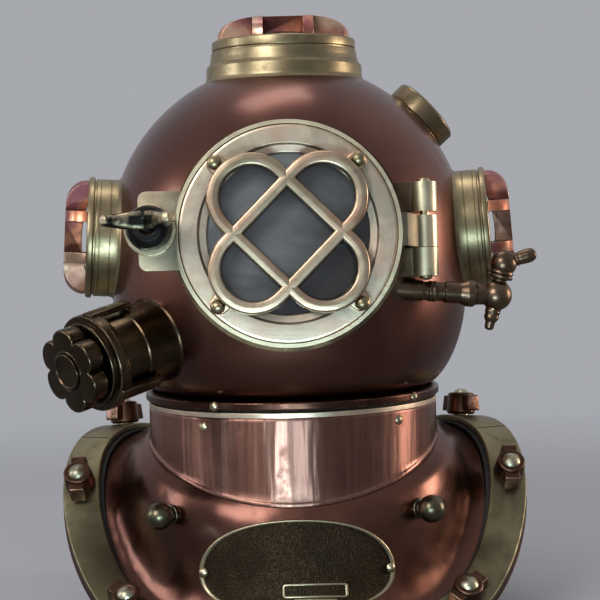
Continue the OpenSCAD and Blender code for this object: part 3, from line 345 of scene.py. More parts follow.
def cast_copy(node, name, coat, edge, limit=28, cuts=(), shape=None):
    """Casting with the form of a CAD node: its mesh is copied and merged, its flat faces are joined, and each
    edge sharper than the limit gets a round of radius edge, in millimetres, which is marked for wear along
    its middle, or for painted shade with some dirt where it is an inner one. Before that it may be cut across
    at some offsets in the faceplate's width, and have its points moved by a function."""
    mesh = frame["nodes"][node].data.copy()
    mesh.name = name
    bm = bmesh.new()
    bm.from_mesh(mesh)
    bmesh.ops.remove_doubles(bm, verts=bm.verts, dist=CAD_MERGE)
    bmesh.ops.dissolve_limit(bm, angle_limit=math.radians(1.5), verts=bm.verts, edges=bm.edges)
    for x in cuts:
        everything = bm.verts[:] + bm.edges[:] + bm.faces[:]
        at = (FACE @ (x, 0, 0, 1))[:3] * MM
        bmesh.ops.bisect_plane(bm, geom=everything, plane_co=at, plane_no=FACE[:3, 0])
    if shape:
        bm.to_mesh(mesh)
        points = numbers(mesh.vertices, "co", 3).reshape(-1, 3)
        mesh.vertices.foreach_set("co", shape(points).astype(np.float32).ravel())
        bm.clear()
        bm.from_mesh(mesh)
    sharp = [e for e in bm.edges if len(e.link_faces) == 2 and e.calc_face_angle() > math.radians(limit)]
    # Points of the inner edges, where the finishes paint shade with some dirt.
    inner = [v for e in sharp if not e.is_convex for v in e.verts]
    dirt_and_shade = np.array([v.co[:] for v in inner]).reshape(-1, 3)
    bmesh.ops.bevel(
        bm, geom=sharp, offset=edge * MM, offset_type="OFFSET", segments=4, profile=0.5, affect="EDGES",
        clamp_overlap=True, loop_slide=True, material=1,
    )
    bmesh.ops.recalc_face_normals(bm, faces=bm.faces)
    bm.to_mesh(mesh)
    bm.free()
    if "custom_normal" in mesh.attributes:
        mesh.attributes.remove(mesh.attributes["custom_normal"])
    wear_and_shade_of_bevels(mesh, dirt_and_shade, 1.6 * edge * MM)
    mesh.shade_smooth()
    shown = hand_over(name, mesh, coat, frame["nodes"][node]["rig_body"], node)
    shown.modifiers.new("Flats", "WEIGHTED_NORMAL").weight = 50


# Finishes


class Value:
    """A number that varies over a surface. Arithmetic on it adds one Math node for each operator."""

    def __init__(self, tree, socket):
        self.tree, self.socket = tree, socket

    def math(self, operation, *others, clamp=False):
        """Adds one Math node, with what it works on."""
        node = self.tree.nodes.new("ShaderNodeMath")
        node.operation, node.use_clamp = operation, clamp
        for socket, value in zip(node.inputs, others):
            if isinstance(value, Value):
                self.tree.links.new(value.socket, socket)
            else:
                socket.default_value = value
        return Value(self.tree, node.outputs[0])

    def __add__(self, other):
        return self.math("ADD", self, other)

    def __sub__(self, other):
        return self.math("SUBTRACT", self, other)

    def __rsub__(self, other):
        return self.math("SUBTRACT", other, self)

    def __mul__(self, other):
        return self.math("MULTIPLY", self, other)

    def __pow__(self, other):
        return self.math("POWER", self, other)

    __radd__, __rmul__ = __add__, __mul__

    def clamped(self):
        """Kept between 0 and 1."""
        return self.math("ADD", self, 0.0, clamp=True)

    def most(self, other):
        """The larger of the two."""
        return self.math("MAXIMUM", self, other)


class Nodes:
    """Short ways to add nodes to a node tree."""

    def __init__(self, tree):
        self.tree = tree

    def node(self, kind, settings=(), **sockets):
        """Adds a node of that kind: settings are set first, then the values or links of its sockets."""
        node = self.tree.nodes.new("ShaderNode" + kind)
        for key, value in dict(settings).items():
            setattr(node, key, value)
        for key, value in sockets.items():
            socket = node.inputs[int(key[1:]) if key[1:].isdigit() else key.replace("_", " ")]
            if isinstance(value, Value):
                self.tree.links.new(value.socket, socket)
            else:
                socket.default_value = value
        return node

    def out(self, node, name=0):
        """Output of a node, by its name or number."""
        return Value(self.tree, node.outputs[name])

    def mixed(self, share, first, second):
        """Shader that goes from the first to the second as share goes from 0 to 1."""
        node = self.tree.nodes.new("ShaderNodeMixShader")
        for socket, source in zip(node.inputs, (share.socket, first.outputs[0], second.outputs[0])):
            self.tree.links.new(source, socket)
        return node

    def split(self, vector):
        """The three coordinates of a vector."""
        node = self.node("SeparateXYZ", Vector=vector)
        return [self.out(node, i) for i in range(3)]

    def ramp(self, value, low, high):
        """0 below low and 1 above high, with a smooth step between."""
        kind = {"interpolation_type": "SMOOTHSTEP", "clamp": True}
        return self.out(self.node("MapRange", kind, Value=value, From_Min=low, From_Max=high))


class Finish(Nodes):
    """A material under construction: its Principled shader, its patterns and its bumps."""

    def __init__(self, **constants):
        self.material = bpy.data.materials.new("finish")
        self.material.use_nodes = True
        super().__init__(self.material.node_tree)
        self.shader = self.tree.nodes["Principled BSDF"]
        for socket, value in constants.items():
            self.shader.inputs[socket.replace("_", " ")].default_value = value
        self.object = self.out(self.node("TexCoord"), "Object")
        self.heights = []

    def mapped(self, scale=(1, 1, 1), turned=(0, 0, 0), moved=(0, 0, 0)):
        """The object's coordinates, stretched, turned and moved for a pattern to lie on."""
        change = {"Scale": scale, "Rotation": turned, "Location": moved}
        return self.out(self.node("Mapping", Vector=self.object, **change))

    def noise(self, scale, detail=4.0, rough=0.55, vector=None, distortion=0.0):
        """Noise between 0 and 1, finer with a larger scale."""
        shape = {"Scale": scale, "Detail": detail, "Roughness": rough, "Distortion": distortion}
        return self.out(self.node("TexNoise", Vector=vector or self.object, **shape))

    def cells(self, scale, feature="F1"):
        """Distance from the points of a scattered set, or from the edges of their cells."""
        cells = self.node("TexVoronoi", {"feature": feature}, Vector=self.object, Scale=scale)
        return self.out(cells, "Distance")

    def blend(self, share, first, second):
        """Colour that goes from the first to the second as share goes from 0 to 1."""
        node = self.tree.nodes.new("ShaderNodeMix")
        node.data_type = "RGBA"
        for index, value in ((0, share), (6, first), (7, second)):
            if isinstance(value, Value):
                self.tree.links.new(value.socket, node.inputs[index])
            elif index == 0:
                node.inputs[0].default_value = value
            else:
                node.inputs[index].default_value = (*value[:3], 1)
        return Value(self.tree, node.outputs[2])

    def spread(self, name):
        """Value that a shape gives each of its points."""
        return self.out(self.node("Attribute", {"attribute_name": name}), "Fac")

    def edges(self):
        """1 on rubbed edges, as the shapes mark them, broken up by noise."""
        return (self.spread("wear_and_shade") * self.ramp(self.noise(60.0, 5.0, 0.65), 0.36, 0.72)).clamped()

    def shaded_hollows(self):
        """1 in inner corners, as the shapes mark them, broken up by noise: where the finishes paint shade,
        with some soot, into the colour.
        """
        return (self.spread("wear_and_shade") * (-0.7 - self.noise(80.0, 4.0, 0.6) * 0.6)).clamped()

    def raise_by(self, value, metres):
        """Adds a bump of that height."""
        self.heights.append((value, metres))

    def done(self, colour, roughness, coat=None):
        """Links what varies and the bumps to the shader, and returns the material."""
        for name, value in (("Base Color", colour), ("Roughness", roughness), ("Coat Weight", coat)):
            if value is not None:
                self.tree.links.new(value.socket, self.shader.inputs[name])
        normal = None
        for value, metres in self.heights:
            bump = self.node("Bump", Height=value, Strength=1.0, Distance=metres)
            if normal is not None:
                self.tree.links.new(normal, bump.inputs["Normal"])
            normal = bump.outputs["Normal"]
        if normal is not None:
            self.tree.links.new(normal, self.shader.inputs["Normal"])
        return self.material


def tone(colour, factor):
    """Colour made lighter or darker by a factor."""
    return tuple(min(1.0, c * factor) for c in colour[:3])


def warped(colour, r, g, b):
    """Colour with its red, green and blue each changed by a factor."""
    return (colour[0] * r, colour[1] * g, colour[2] * b)


def spun_copper(colour):
    """Lacquered spun copper of the bonnet: broad brown clouds, faint spinning rings about the dome's axis,
    and small stains."""
    f = Finish(Metallic=1.0, Coat_Roughness=0.16, Coat_IOR=1.45)
    cloud = f.ramp(f.noise(7.0, 3.0, 0.5, distortion=0.6), 0.35, 0.68)
    stain = f.ramp(f.noise(38.0, 6.0, 0.62), 0.56, 0.72)
    speck = f.ramp(f.noise(420.0, 2.0, 0.5), 0.68, 0.76)
    rings = f.noise(1.0, 3.0, 0.6, f.mapped(scale=(6, 6, 900)))
    tint = f.blend(cloud, warped(colour, 0.74, 0.7, 0.76), warped(colour, 1.22, 1.16, 1.08))
    tint = f.blend(stain * 0.4, tint, warped(colour, 0.5, 0.45, 0.5))
    tint = f.blend(speck * 0.5, tint, warped(colour, 0.3, 0.32, 0.4))
    tint = f.blend(f.edges() * 0.5, tint, warped(colour, 1.9, 1.8, 1.7))
    # Painted shade, with some dirt, in inner corners.
    tint = f.blend(f.shaded_hollows() * 0.6, tint, warped(colour, 0.2, 0.2, 0.25))
    f.raise_by(rings, 0.00002)
    f.raise_by(f.noise(11.0, 2.0, 0.4), 0.0012)
    return f.done(tint, 0.25 + cloud * 0.07 + rings * 0.06 + stain * 0.08, coat=0.3 + cloud * 0.1)


def breastplate_copper(colour):
    """Hand-raised copper of the breastplate: larger clouds, hammer planishing as shallow cells, and dull
    tarnish."""
    f = Finish(Metallic=1.0, Coat_Roughness=0.2, Coat_IOR=1.45)
    cloud = f.ramp(f.noise(9.0, 4.0, 0.55, distortion=0.8), 0.34, 0.7)
    tarnish = f.ramp(f.noise(30.0, 6.0, 0.65), 0.54, 0.74)
    speck = f.ramp(f.noise(300.0, 3.0, 0.5), 0.69, 0.77)
    tint = f.blend(cloud, warped(colour, 0.72, 0.68, 0.72), warped(colour, 1.2, 1.12, 1.04))
    tint = f.blend(tarnish * 0.4, tint, warped(colour, 0.5, 0.46, 0.5))
    tint = f.blend(speck * 0.5, tint, warped(colour, 0.25, 0.28, 0.35))
    # Painted shade, with some dirt, in inner corners.
    tint = f.blend(f.shaded_hollows() * 0.5, tint, warped(colour, 0.25, 0.22, 0.25))
    f.raise_by(f.cells(60.0, feature="SMOOTH_F1"), 0.0006)
    f.raise_by(f.noise(14.0, 3.0, 0.5), 0.0016)
    return f.done(tint, 0.24 + cloud * 0.09 + tarnish * 0.12, coat=0.25 + cloud * 0.1)


def polished_collar(colour):
    """Polished copper of the collar: spun rings that draw each highlight out up and down, soft dents, dull
    stains, and pale upright streaks painted into the colour as highlights."""
    f = Finish(Metallic=1.0, Anisotropic=0.8, Anisotropic_Rotation=0.25)
    x, y, z = f.split(f.object)
    angle = x.math("ARCTAN2", x, y)
    dents = f.noise(1.0, 2.0, 0.5, f.out(f.node("CombineXYZ", X=angle * 7.0, Y=z * 7.0)))
    gleam_streaks = f.noise(1.0, 4.0, 0.6, f.out(f.node("CombineXYZ", X=angle * 40.0, Y=z * 10.0)))
    cloud = f.ramp(f.noise(16.0, 4.0, 0.6), 0.4, 0.66)
    stain = f.ramp(f.noise(55.0, 5.0, 0.65), 0.54, 0.7)
    pit = f.ramp(f.noise(260.0, 3.0, 0.5), 0.7, 0.76)
    tint = f.blend(cloud, warped(colour, 0.82, 0.74, 0.74), warped(colour, 1.12, 1.1, 1.08))
    # Painted highlight: pale upright streaks, the same ones that roughen and bump the copper.
    tint = f.blend(f.ramp(gleam_streaks, 0.4, 0.7) * 0.35, tint, warped(colour, 1.45, 1.45, 1.45))
    tint = f.blend(stain * 0.4, tint, warped(colour, 0.7, 0.55, 0.52))
    tint = f.blend(pit * 0.7, tint, warped(colour, 0.3, 0.25, 0.25))
    tint = f.blend(f.edges() * 0.6, tint, warped(colour, 1.7, 1.75, 1.8))
    f.raise_by(dents, 0.0011)
    f.raise_by(gleam_streaks, 0.00009)
    f.raise_by(f.noise(1.0, 3.0, 0.6, f.mapped(scale=(20, 20, 1400))), 0.00002)
    return f.done(tint, 0.24 + gleam_streaks * 0.16 + stain * 0.1)


def worn_metal(colour, bare, dull=0.6, rough=0.34, grain=0.00006, edge=0.8, pink=0.0, soot_and_shade=0.75):
    """Cast brass or bronze: mottled tarnish, painted shade with some soot in the hollows, pits, fine file
    marks, and bare metal on rubbed edges."""
    f = Finish(Metallic=1.0)
    cloud = f.ramp(f.noise(22.0, 4.0, 0.6, distortion=0.5), 0.36, 0.66)
    patch = f.ramp(f.noise(70.0, 5.0, 0.62), 0.52, 0.7)
    speck = f.ramp(f.noise(520.0, 3.0, 0.5), 0.66, 0.76)
    files = f.noise(1.0, 3.0, 0.6, f.mapped(scale=(90, 90, 1500), turned=(0.3, 0.5, 0)))
    tint = f.blend(cloud, tone(colour, dull + 0.12), tone(colour, 1.15))
    if pink:
        blush = f.ramp(f.noise(26.0, 4.0, 0.6, f.mapped(moved=(3, 1, 2))), 0.42, 0.66)
        tint = f.blend(blush * pink, tint, warped(colour, 1.0, 0.72, 0.7))
        stain = f.ramp(f.noise(48.0, 5.0, 0.7, f.mapped(moved=(1, 4, 2))), 0.52, 0.68)
        tint = f.blend(stain * pink * 0.7, tint, warped(colour, 0.62, 0.5, 0.46))
    tint = f.blend(patch * 0.55, tint, tone(colour, dull))
    tint = f.blend(speck * 0.6, tint, tone(colour, 0.25))
    rub = (f.edges() * edge * (0.55 + cloud * 0.45)).clamped()
    tint = f.blend(rub, tint, bare)
    # Painted shade with some soot: the hollows are darkened towards a tenth of the colour.
    tint = f.blend(f.shaded_hollows() * soot_and_shade, tint, tone(colour, 0.12))
    f.raise_by(files, grain)
    f.raise_by(f.noise(160.0, 4.0, 0.6), grain * 2)
    return f.done(tint, rough + patch * 0.12 - rub * 0.08 + files * 0.08)


def hinge_metal(pale, dark):
    """Seat of the faceplate: pale brass on the hinge's barrels, which lie within 10 mm of the pin's axis, and
    elsewhere a dark colour that paints the shade on the seat's arms."""
    f = Finish(Metallic=1.0)
    off = [value - float(HINGE[i, 3]) * MM for i, value in enumerate(f.split(f.object))]
    along = sum(value * float(HINGE[i, 2]) for i, value in enumerate(off))
    reach = (sum(value * value for value in off) - along * along) ** 0.5
    cloud = f.ramp(f.noise(30.0, 5.0, 0.6), 0.36, 0.66)
    lines = f.mapped(scale=(90, 900, 90), turned=(0.4, 0.2, 0.1))
    scratch = f.ramp(f.noise(1.0, 3.0, 0.6, lines), 0.58, 0.68)
    brass = f.blend(cloud, tone(pale, 0.72), tone(pale, 1.1))
    brass = f.blend(scratch * 0.5, brass, tone(pale, 0.45))
    # Painted shade, with some dirt, in the inner corners of the brass.
    brass = f.blend(f.shaded_hollows() * 0.8, brass, tone(pale, 0.1))
    # Away from the barrels the seat gets a dark colour, which paints the shade on its arms.
    tint = f.blend(f.ramp(reach, 0.0098, 0.0106), brass, f.blend(cloud, dark, tone(dark, 2.2)))
    f.raise_by(cloud, 0.0002)
    f.raise_by(f.noise(160.0, 4.0, 0.6), 0.00015)
    return f.done(tint, 0.3 + cloud * 0.12)


def heat_patina(colour, brass):
    """Copper guards darkened by heat: patches from pale brass through orange copper to plum brown, and rubbed
    edges."""
    f = Finish(Metallic=1.0)
    broad = f.noise(26.0, 3.0, 0.55, distortion=0.7)
    small = f.noise(90.0, 5.0, 0.65)
    tint = f.blend(f.ramp(broad, 0.42, 0.6), warped(colour, 0.62, 0.62, 1.15), warped(colour, 1.15, 1.2, 1.2))
    pale = f.ramp(f.noise(20.0, 3.0, 0.5, f.mapped(moved=(5, 2, 1))), 0.46, 0.62)
    tint = f.blend(pale, tint, warped(brass, 1.15, 0.92, 0.85))
    tint = f.blend(f.ramp(small, 0.52, 0.72) * 0.6, tint, warped(colour, 0.35, 0.3, 0.4))
    rub = (f.edges() * 0.7).clamped()
    tint = f.blend(rub, tint, warped(brass, 1.5, 1.4, 1.25))
    # Painted shade, with some soot, near black in the inner corners of the bars.
    tint = f.blend(f.shaded_hollows() * 0.8, tint, tone(colour, 0.08))
    f.raise_by(small, 0.00012)
    return f.done(tint, 0.26 + small * 0.14 - rub * 0.08)


def plate_field(colour, bare):
    """Nameplate brass: a dark stippled ground in its hollow, and bright metal on its border and frames."""
    f = Finish(Metallic=1.0)
    raised = f.spread("wear_and_shade")
    stipple = f.cells(900.0)
    cloud = f.ramp(f.noise(40.0, 5.0, 0.6), 0.4, 0.65)
    ground = f.blend(f.ramp(stipple, 0.1, 0.7), tone(colour, 0.35), tone(colour, 0.95))
    ground = f.blend(cloud * 0.5, ground, tone(colour, 0.4))
    tint = f.blend(raised, ground, f.blend(cloud * 0.4, bare, tone(bare, 0.6)))
    f.raise_by(stipple * (1 - raised), 0.0005)
    f.raise_by(f.noise(200.0, 4.0, 0.6), 0.00012)
    return f.done(tint, 0.45 - raised * 0.12 + cloud * 0.1)


def black_rubber(colour):
    """Rubber of the gaskets: matt black with bloom, small cracks and moulding grain."""
    f = Finish()
    bloom = f.ramp(f.noise(60.0, 5.0, 0.6), 0.45, 0.75)
    crack = f.ramp(f.cells(240.0, feature="DISTANCE_TO_EDGE"), 0.0, 0.04)
    tint = f.blend(bloom * 0.35, tone(colour, 1.0), tone(colour, 3.0))
    tint = f.blend(crack, tone(colour, 0.3), tint)
    f.raise_by(crack, 0.00008)
    f.raise_by(f.noise(500.0, 3.0, 0.6), 0.00008)
    return f.done(tint, 0.62 + bloom * 0.15)


def window_glass(colour):
    """Thick plate glass: clear, with a thin uneven film of dust and wiped smears that shows as pale grey, and
    a
    painted reflection of the room: the film is paler high up on the left and darker low down on the right."""
    f = Finish(IOR=1.5, Coat_Roughness=0.03)
    f.shader.inputs["Transmission Weight"].default_value = 0.4
    x, _, z = f.split(f.object)
    smear = f.noise(1.0, 4.0, 0.6, f.mapped(scale=(9, 9, 26), turned=(0.2, 0.35, 0.6)), distortion=0.8)
    # Painted reflection: the film darkens towards the lower right and stays pale towards the upper left.
    painted_reflection = f.ramp(z * 6.0 - x * 8.0 + smear * 0.5, 1.5, 2.35)
    dust = f.ramp(f.noise(700.0, 2.0, 0.5), 0.66, 0.74)
    tint = f.blend(f.ramp(smear, 0.3, 0.7), tone(colour, 0.75), tone(colour, 1.25))
    tint = f.blend(painted_reflection, tone(colour, 0.22), tint)
    tint = f.blend(dust * 0.2, tint, tone(colour, 2.0))
    f.raise_by(f.noise(14.0, 2.0, 0.4), 0.0003)
    return f.done(tint, 0.05 + f.ramp(smear, 0.4, 0.8) * 0.12 + dust * 0.1, coat=0.5 + smear * 0.5)


RUST = (0.17, 0.06, 0.025)


def spring_wire(colour):
    """Drawn steel wire: fine lengthwise grain, a bluish oil tint and specks of rust."""
    f = Finish(Metallic=1.0)
    grain = f.noise(1.0, 3.0, 0.6, f.mapped(scale=(700, 700, 120)))
    rust = f.ramp(f.noise(120.0, 5.0, 0.6), 0.58, 0.7)
    tint = f.blend(grain, tone(colour, 0.8), tone(colour, 1.15))
    tint = f.blend(rust * 0.7, tint, RUST)
    f.raise_by(grain, 0.00004)
    return f.done(tint, 0.28 + rust * 0.3)


# The helmet's own surfaces, with angles in degrees


def sin(degrees):
    return np.sin(np.radians(degrees))


def cos(degrees):
    return np.cos(np.radians(degrees))


# Rim: half its width and half its depth, the cosine series of its height with the series' base and scale,
# half the width of flange and strap, and the strap's underside and top.
RIM_X, RIM_Y = 168, 150
RIM_BASE, RIM_SCALE = 11.7, 61
RIM_WAVE = (0.885, -0.419, -0.972, 0.392, 0.108, 0.063, -0.021, -0.036)
FLANGE_HALF, STRAP_HALF = 15.3, 14.5
STRAP_LOW, STRAP_HIGH = 3.2, 8.2
STUDS = np.arange(15, 360, 30)
# Radius at which the copper leaves the neck, and how far down the bib, from neck to flange, the nameplate's
# middle lies.
SADDLE_R = 116.3
PLATE_V = 0.52


def rim_at(t):
    """Line of the rim studs: x and y are short sine and cosine series of t, and z a longer cosine series."""
    x = RIM_X * (0.954 * sin(t) + 0.075 * sin(2 * t) - 0.006 * sin(3 * t) - 0.052 * sin(4 * t))
    y = RIM_Y * (0.107 - cos(t) - 0.1 * cos(2 * t))
    z = RIM_BASE + RIM_SCALE * sum(c * cos(k * t) for k, c in enumerate(RIM_WAVE))
    return np.stack([x, y, z], -1)


def rim_axes(t):
    """Along the rim, outwards across it, and up from it: outwards leans down by 52 |cos t|^1.5 and is squared
    to the run."""
    run = unit(rim_at(t + 0.5) - rim_at(t - 0.5))
    flat = unit(run[..., [1, 0, 2]] * (1, -1, 0))
    lean = 52 * np.abs(cos(t)) ** 1.5
    out = flat * cos(lean)[..., None] - (0, 0, 1) * sin(lean)[..., None]
    out = unit(out - np.sum(out * run, -1, keepdims=True) * run)
    return run, out, np.cross(out, run)


def rim_point(t, across, up):
    """Point beside the rim's line: line + across times the outward axis + up times the upward one."""
    t, across, up = np.broadcast_arrays(*(np.asarray(v, float) for v in (t, across, up)))
    run, out, normal = rim_axes(t)
    return rim_at(t) + across[..., None] * out + up[..., None] * normal


def neck_foot(a):
    """Height at which the copper leaves the neck: a mean height less a cosine of a and one of 2 a."""
    return 136 - 25 * cos(a) - 8 * cos(2 * a)


def neck_angle(t):
    """Angle round the neck that the rim's t is joined with: t + a sine of t - a sine of 2 t."""
    return t + 10 * sin(t) - 2 * sin(2 * t)


def round_neck(r, a, z):
    """Point (r sin a, -r cos a, z), with a from the front."""
    return np.stack(np.broadcast_arrays(r * sin(a), -r * cos(a), z), -1)


def saddle_at(t, v):
    """Copper from the neck (v = 0) to the flange (v = 1): a cubic between the two lines that leaves the neck
    at a slope of 14 + 50 cos^2 a degrees and lands along the flange."""
    t, v = np.broadcast_arrays(np.asarray(t, float), np.asarray(v, float))
    a = neck_angle(t)
    start, end = round_neck(SADDLE_R, a, neck_foot(a)), rim_point(t, -FLANGE_HALF, 0)
    span = np.linalg.norm(end - start, axis=-1, keepdims=True)
    slope = 14 + 50 * cos(a) ** 2
    leave = span * np.stack([sin(a) * cos(slope), -cos(a) * cos(slope), -sin(slope)], -1)
    land = span * rim_axes(t)[1]
    v = v[..., None]
    to_end = 3 * v**2 - 2 * v**3
    return (1 - to_end) * start + (v**3 - 2 * v**2 + v) * leave + to_end * end + (v**3 - v**2) * land


def saddle_normal(t, v):
    """Outward normal of the copper: the cross product of its steps along v and along t."""
    t, v = np.broadcast_arrays(np.asarray(t, float), np.asarray(v, float))
    down = saddle_at(t, v + 0.01) - saddle_at(t, v - 0.01)
    along = saddle_at(t + 0.5, v) - saddle_at(t - 0.5, v)
    return unit(np.cross(down, along))


def saddle_point(t, v, up):
    """Point over the copper: its surface + up times its normal."""
    return saddle_at(t, v) + np.asarray(up, float)[..., None] * saddle_normal(t, v)


def standing(points):
    """Nothing reaches below the plane that the rim stands on."""
    return np.concatenate([points[..., :2], np.maximum(points[..., 2:], 0)], -1)


def stood(origin, x, z):
    """Place at a point with its X and Z along two directions."""
    m = np.eye(4)
    m[:3, 0], m[:3, 1], m[:3, 2], m[:3, 3] = x, np.cross(z, x), z, origin
    return m


def on_rim(t, up=0.0):
    """Place on the rim's line whose X runs along it."""
    t = float(t)
    run, _, normal = rim_axes(np.array(t))
    return stood(rim_point(t, 0, up), run, normal)


def on_saddle(t, v, up=0.0):
    """Place on the copper whose X runs round it."""
    normal = saddle_normal(t, v)
    return stood(saddle_point(t, v, up), unit(saddle_at(t + 0.5, v) - saddle_at(t - 0.5, v)), normal)


def on_neck(r, a, z):
    """Place on the neck that looks outwards."""
    return move(0, 0, z) @ turn("z", a) @ turn("x", 90) @ move(0, 0, r)


def lower_radius(k):
    """Outer radius of the dome below its centre: hem + (dome - hem) (1 - k^3)^0.74, where k runs from 0 at
    the centre to 1 at the hem."""
    return HEM_R + (DOME_R - HEM_R) * (1 - k**3) ** 0.74


def outside_dome(p):
    """How far points lie outside the dome: off its sphere above the centre, and off its turned outline
    below."""
    x, y, z = np.moveaxis(p, -1, 0)
    above = np.sqrt(x**2 + y**2 + (z - DOME_Z) ** 2) - DOME_R
    below = np.hypot(x, y) - lower_radius(np.clip((DOME_Z - z) / HEM_DROP, 0, 1))
    return np.where(z > DOME_Z, above, below)


def dome_height(at, x, y):
    """Height along a place's Z at which its line through (x, y) leaves the dome. A span from -60 to 200 mm is
    halved 40 times."""
    x, y = np.broadcast_arrays(x, y)
    low, high = np.full(x.shape, -60.0), np.full(x.shape, 200.0)
    for _ in range(40):
        middle = (low + high) / 2
        out = outside_dome(place(at, np.stack([x, y, middle], -1))) > 0
        low, high = np.where(out, low, middle), np.where(out, middle, high)
    return (low + high) / 2


def turned_on_dome(corners, at, foot, bore, bead, segments=160):
    """Turned fitting soldered to the dome: its lowest rings follow the dome's surface, as a bead of solder
    that runs out from the foot, and the outline's other points (r, h) are turned as (r cos a, r sin a, h)."""
    outline, wear_and_shade = rounded(corners, closed=False)
    a = (np.arange(segments) * TAU / segments)[None, :]
    base = np.array([
        (bore, -1.4), (foot + bead, -0.3), (foot + bead * 0.55, bead * 0.12),
        (foot + bead * 0.2, bead * 0.42), (foot, bead),
    ])
    r = base[:, :1]
    surface = dome_height(at, r * np.cos(a), r * np.sin(a))
    base = np.stack([r * np.cos(a), r * np.sin(a), surface + base[:, 1:]], -1)
    r, h = outline[:, :1], outline[:, 1:]
    above = np.stack([r * np.cos(a), r * np.sin(a), h + 0 * a], -1)
    points = np.concatenate([base, above])
    return grid(place(at, points), True, True, np.concatenate([np.zeros(len(base)), wear_and_shade])[:, None])


# What a user may change


def colour_of(name, note, value):
    """Linear colour."""
    kind = {"subtype": "COLOR", "size": 3, "min": 0, "max": 1}
    return FloatVectorProperty(name=name, description=note, default=value, **kind)


def length_of(name, note, value, low, high):
    """Length with its limits, all in millimetres."""
    limits = {"default": value * MM, "min": low * MM, "max": high * MM}
    return FloatProperty(name=name, description=note, unit="LENGTH", precision=4, **limits)


class HelmetColours(bpy.types.PropertyGroup):
    """Colours of the finishes, before their variation and wear."""

    bonnet: colour_of("Bonnet copper", "Spun copper of the bonnet", (0.19, 0.082, 0.058))
    breastplate: colour_of("Breastplate copper", "Raised copper of the breastplate", (0.17, 0.075, 0.052))
    collar: colour_of("Collar copper", "Polished copper round the neck", (0.33, 0.175, 0.135))
    pale_brass: colour_of("Pale brass", "Faceplate casting, bezel and guard", (0.80, 0.665, 0.50))
    olive_brass: colour_of("Olive brass", "Windows, receiver cup and goosenecks", (0.42, 0.335, 0.195))
    strap_brass: colour_of("Strap brass", "Rim straps", (0.28, 0.24, 0.14))
    dark_brass: colour_of("Dark brass", "Exhaust valve and nameplate ground", (0.105, 0.07, 0.042))
    red_bronze: colour_of("Reddish bronze", "Spitcock", (0.19, 0.125, 0.082))
    dark_bronze: colour_of("Dark bronze", "Rim nuts", (0.11, 0.055, 0.033))
    black_metal: colour_of("Blackened metal", "Wing nut", (0.022, 0.021, 0.02))
    guard: colour_of("Guard copper", "Barred guards of the windows", (0.74, 0.27, 0.15))
    bright_brass: colour_of("Bare brass", "Rubbed edges and stud heads", (0.75, 0.62, 0.40))
    bright_copper: colour_of("Bare copper", "Rubbed edges of the nuts", (0.85, 0.50, 0.36))
    rubber: colour_of("Rubber", "Gaskets and seals", (0.014, 0.013, 0.013))
    glass: colour_of("Glass film", "Dust and shine of the window glass", (0.32, 0.345, 0.36))
    steel: colour_of("Spring steel", "Exhaust spring", (0.30, 0.31, 0.33))
    backdrop: colour_of("Backdrop", "Floor and background", (0.385, 0.395, 0.425))
    room_light: colour_of("Room light", "Light that falls in from all around", (0.55, 0.56, 0.58))


class HelmetSizes(bpy.types.PropertyGroup):
    """Sizes of the finishing details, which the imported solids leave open."""

    casting_edge: length_of("Casting edge", "Round on the edges of the large castings", 1.3, 0.2, 1.4)
    guard_edge: length_of("Guard edge", "Round on the bars of the faceplate's guard", 1.9, 0.3, 2.4)
    solder_bead: length_of("Solder bead", "Width of the solder round fittings on the dome", 2.2, 0.5, 4.0)
    plate_relief: length_of(
        "Nameplate relief", "Height of the plate's frames above its ground", 0.8, 0.3, 1.1
    )
    floor_radius: length_of("Floor radius", "Radius of the floor", 3000, 1000, 6000)
    lamp_power: FloatProperty(
        name="Lamp power", description="Factor on every lamp", subtype="FACTOR", default=1.0, min=0.1, max=3.0
    )


